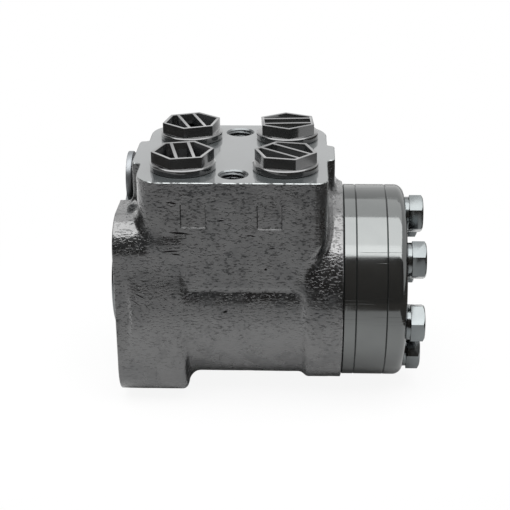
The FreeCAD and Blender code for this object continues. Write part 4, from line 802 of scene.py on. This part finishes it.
def level_panel(low, high, level):
    """Four corners of a level panel between two corners."""
    return [(low[0], low[1], level), (high[0], low[1], level),
            (high[0], high[1], level), (low[0], high[1], level)]


def stage_piece(name, panels, material):
    """Four-cornered panels as one piece of the stage."""
    mesh = bpy.data.meshes.new(name)
    corners = [corner for panel in panels for corner in panel]
    mesh.from_pydata(corners, [], [tuple(range(first, first + 4)) for first in range(0, len(corners), 4)])
    mesh.materials.append(material)
    piece = adopt(name, mesh, None)
    return piece


def stage():
    """Pale floor, dark cloth that only mirrors see, three soft lamps overhead and a white sky."""
    size = 3.0
    stage_piece("floor", [level_panel((-size, -size), (size, size), FLOOR_HIGH)], pale_paper_floor())
    carpet, wall_top = FLOOR_HIGH + 0.001, 0.70
    side_along, side_low, side_top = -0.45, FLOOR_HIGH + 0.03, 0.55
    front_wall = [(-1.2, -0.66, FLOOR_HIGH), (1.3, -0.66, FLOOR_HIGH),
                  (1.3, -0.60, wall_top), (-1.2, -0.60, wall_top)]
    side_wall = [(side_along, -0.60, side_low), (side_along, 0.3, side_low), (side_along, 0.3, side_top),
                 (side_along, -0.60, side_top)]
    front_strip = level_panel((-0.12, -0.65), (1.3, -0.40), carpet)
    gear_strip = level_panel((0.103, -0.40), (0.19, -0.22), carpet)
    right_strip = level_panel((0.19, -0.40), (1.3, 0.4), carpet)
    cloth = stage_piece("dark_wall", [front_wall, side_wall, front_strip, gear_strip, right_strip],
                        dark_studio_cloth())
    cloth.visible_camera = False
    cloth.visible_diffuse = False
    cloth.visible_shadow = False
    cloth.visible_transmission = False
    for name, middle, span, power in (("front_strip", (0.05, -0.42, 0.60), (1.1, 0.20), 4.2),
                                      ("overhead_box", (0.05, -0.11, 0.60), (1.1, 0.42), 3.2),
                                      ("rear_box", (0.05, 0.33, 0.60), (1.1, 0.44), 0.9)):
        lamp = bpy.data.lights.new(name, "AREA")
        lamp.shape = "RECTANGLE"
        lamp.size, lamp.size_y = span
        lamp.energy = power * math.pi * span[0] * span[1]
        box = bpy.data.objects.new(name, lamp)
        box.location = middle
        bpy.context.scene.collection.objects.link(box)
    white_sky()


def white_sky():
    """A sky that is plain white to the camera, to mirrors and to glass, and lights the scene at a
    little less than half of that."""
    world = bpy.data.worlds.new("studio_white")
    bpy.context.scene.world = world
    world.use_nodes = True
    sky = world.node_tree
    sky.nodes.clear()
    path = add(sky, "LightPath")
    seen = add(sky, "Math", {0: path.outputs["Is Camera Ray"], 1: path.outputs["Is Glossy Ray"]},
               operation="MAXIMUM")
    seen = add(sky, "Math", {0: seen.outputs[0], 1: path.outputs["Is Transmission Ray"]}, operation="MAXIMUM")
    level = add(sky, "MapRange", {"Value": seen.outputs[0], "To Min": 0.45, "To Max": 1.0})
    light = add(sky, "Background", {"Color": (1, 1, 1, 1), "Strength": level.outputs[0]})
    add(sky, "OutputWorld", {"Surface": light.outputs[0]})


def photo_camera():
    """The camera that was fitted to the photograph: place, pitch, yaw, roll and lens."""
    place = Vector((80.19, -514.29, 226.01)) * MM
    pitch, yaw, roll = math.radians(22.78), math.radians(-2.5), math.radians(0.47)
    image, focal, centre = 510.0, 1245.34, (255.26, 257.47)
    forward = Vector((math.sin(yaw) * math.cos(pitch), math.cos(yaw) * math.cos(pitch), -math.sin(pitch)))
    right = Vector((math.cos(yaw), -math.sin(yaw), 0))
    down = forward.cross(right)
    right, down = (math.cos(roll) * right + math.sin(roll) * down,
                   -math.sin(roll) * right + math.cos(roll) * down)
    lens = bpy.data.cameras.new("photo_camera")
    lens.sensor_width = 36.0
    lens.lens = focal / image * lens.sensor_width
    lens.shift_x = (image / 2 - centre[0]) / image
    lens.shift_y = (centre[1] - image / 2) / image
    lens.clip_start, lens.clip_end = 0.01, 20.0
    camera = bpy.data.objects.new("photo_camera", lens)
    turn = Matrix((right, -down, -forward)).transposed()
    camera.matrix_world = Matrix.Translation(place) @ turn.to_4x4()
    bpy.context.scene.collection.objects.link(camera)
    bpy.context.scene.camera = camera


bpy.context.scene.view_settings.view_transform = "Standard"
photo_camera()
stage()

enamel = cast_iron_black_enamel()
lacquer = turned_black_lacquer()
port_finish = milled_port_face()
worn = worn_paint_edge()
plug_plastic = moulded_plug_plastic()
rubber = moulded_rubber()
# Zinc plate keeps a bright, slightly blue-grey mirror with forging marks under it
zinc = steel("zinc_plated_steel", "forged and zinc plated", "#5E6264", "#7A7E7E", 0.15, 0.24, 1.2,
             (1, 1, 1), 0.02)
# Bores, threads and turned ends keep the rings of the cutter under a film of oil
bored = steel("bored_cast_iron", "bored and oiled", "#5E6162", "#777A7B", 0.26, 0.38, 0.5,
              (1.0, 0.05, 0.05), 0.02)
tapped = steel("tapped_cast_iron", "tapped and oiled", "#454748", "#5C5F60", 0.24, 0.34, 0.5,
               (1, 1, 1), 0.004)
bright = steel("turned_steel", "turned bright", "#66696A", "#828585", 0.20, 0.30, 0.6,
               (1.0, 0.05, 0.05), 0.02)
# Grinding leaves a pale, even mirror. Phosphate, tempering and forging leave the steel duller.
ground = steel("ground_hardened_steel", "hardened and ground", "#9DA0A1", "#BCBFBF", 0.12, 0.20, 0.3,
               (1.0, 0.1, 0.1), 0.006)
phosphated = steel("phosphated_steel", "phosphated and oiled", "#74777A", "#8E9193", 0.40, 0.50, 1.0,
                   (1, 1, 1), 0.01)
spring_steel = steel("blued_spring_steel", "rolled and tempered", "#4A4F58", "#62676F", 0.24, 0.34, 0.8,
                     (0.1, 1.0, 1.0), 0.01)
forged = steel("forged_steel", "forged and phosphated", "#3E4042", "#56585A", 0.40, 0.55, 1.5,
               (1, 1, 1), 0.06)

housing_casting([enamel, bored, port_finish, worn])
for side, across in BRACKET_HOLES.items():
    thread_liner(f"bracket_thread_{side}", (PORT_CENTRE, across), low=41.3, high=58.5, crest=4.8, root=5.6,
                 pitch=1.5, material=tapped)
for letter in PORTS:
    eased(f"port_plug_{letter}", "plug_plastic", plug_plastic, edge=0.22)
for node in ("spacer_plate", "gear_ring", "end_cover"):
    eased(node, "painted_steel", lacquer)
eased("cover_bolts", "bolt_steel", zinc, edge=0.25)
eased("bolt_washers", "bolt_steel", zinc, edge=0.2)
eased("seal_retainer", "painted_steel", bright)
eased("relief_valve_plug", "bolt_steel", phosphated, edge=0.3)

# The wound spring lies within the plain one's wire, and its near end stays against the setting screw
SPRING_WIRE = 0.6
spring_low, spring_high = box_mm("relief_spring")
spring = coil("relief_spring_wound", spring_low[0] + SPRING_WIRE, spring_high[0] - SPRING_WIRE,
              mean=spring_high[2] - VALVE_HIGH - SPRING_WIRE, wire=0.58, turns=5, up=VALVE_HIGH,
              material=spring_steel)
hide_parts("relief_spring")
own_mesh(spring)

PLAIN_NODES = {
    rubber: ["dust_seal", "shaft_seal", "oring_housing", "oring_plate", "oring_cover", "relief_plug_seal"],
    ground: ["sleeve", "spool", "thrust_race_front", "thrust_race_rear", "thrust_needles", "cross_pin",
             "rotor", "check_ball", "relief_poppet"],
    bright: ["needle_cage", "relief_setting_screw", "check_valve_bush", "rotor_spacer"],
    spring_steel: ["spring_ring", "centring_springs"],
    forged: ["drive_link"],
}
for material, names in PLAIN_NODES.items():
    for name in names:
        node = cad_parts[name]
        node.data.materials.clear()
        node.data.materials.append(material)
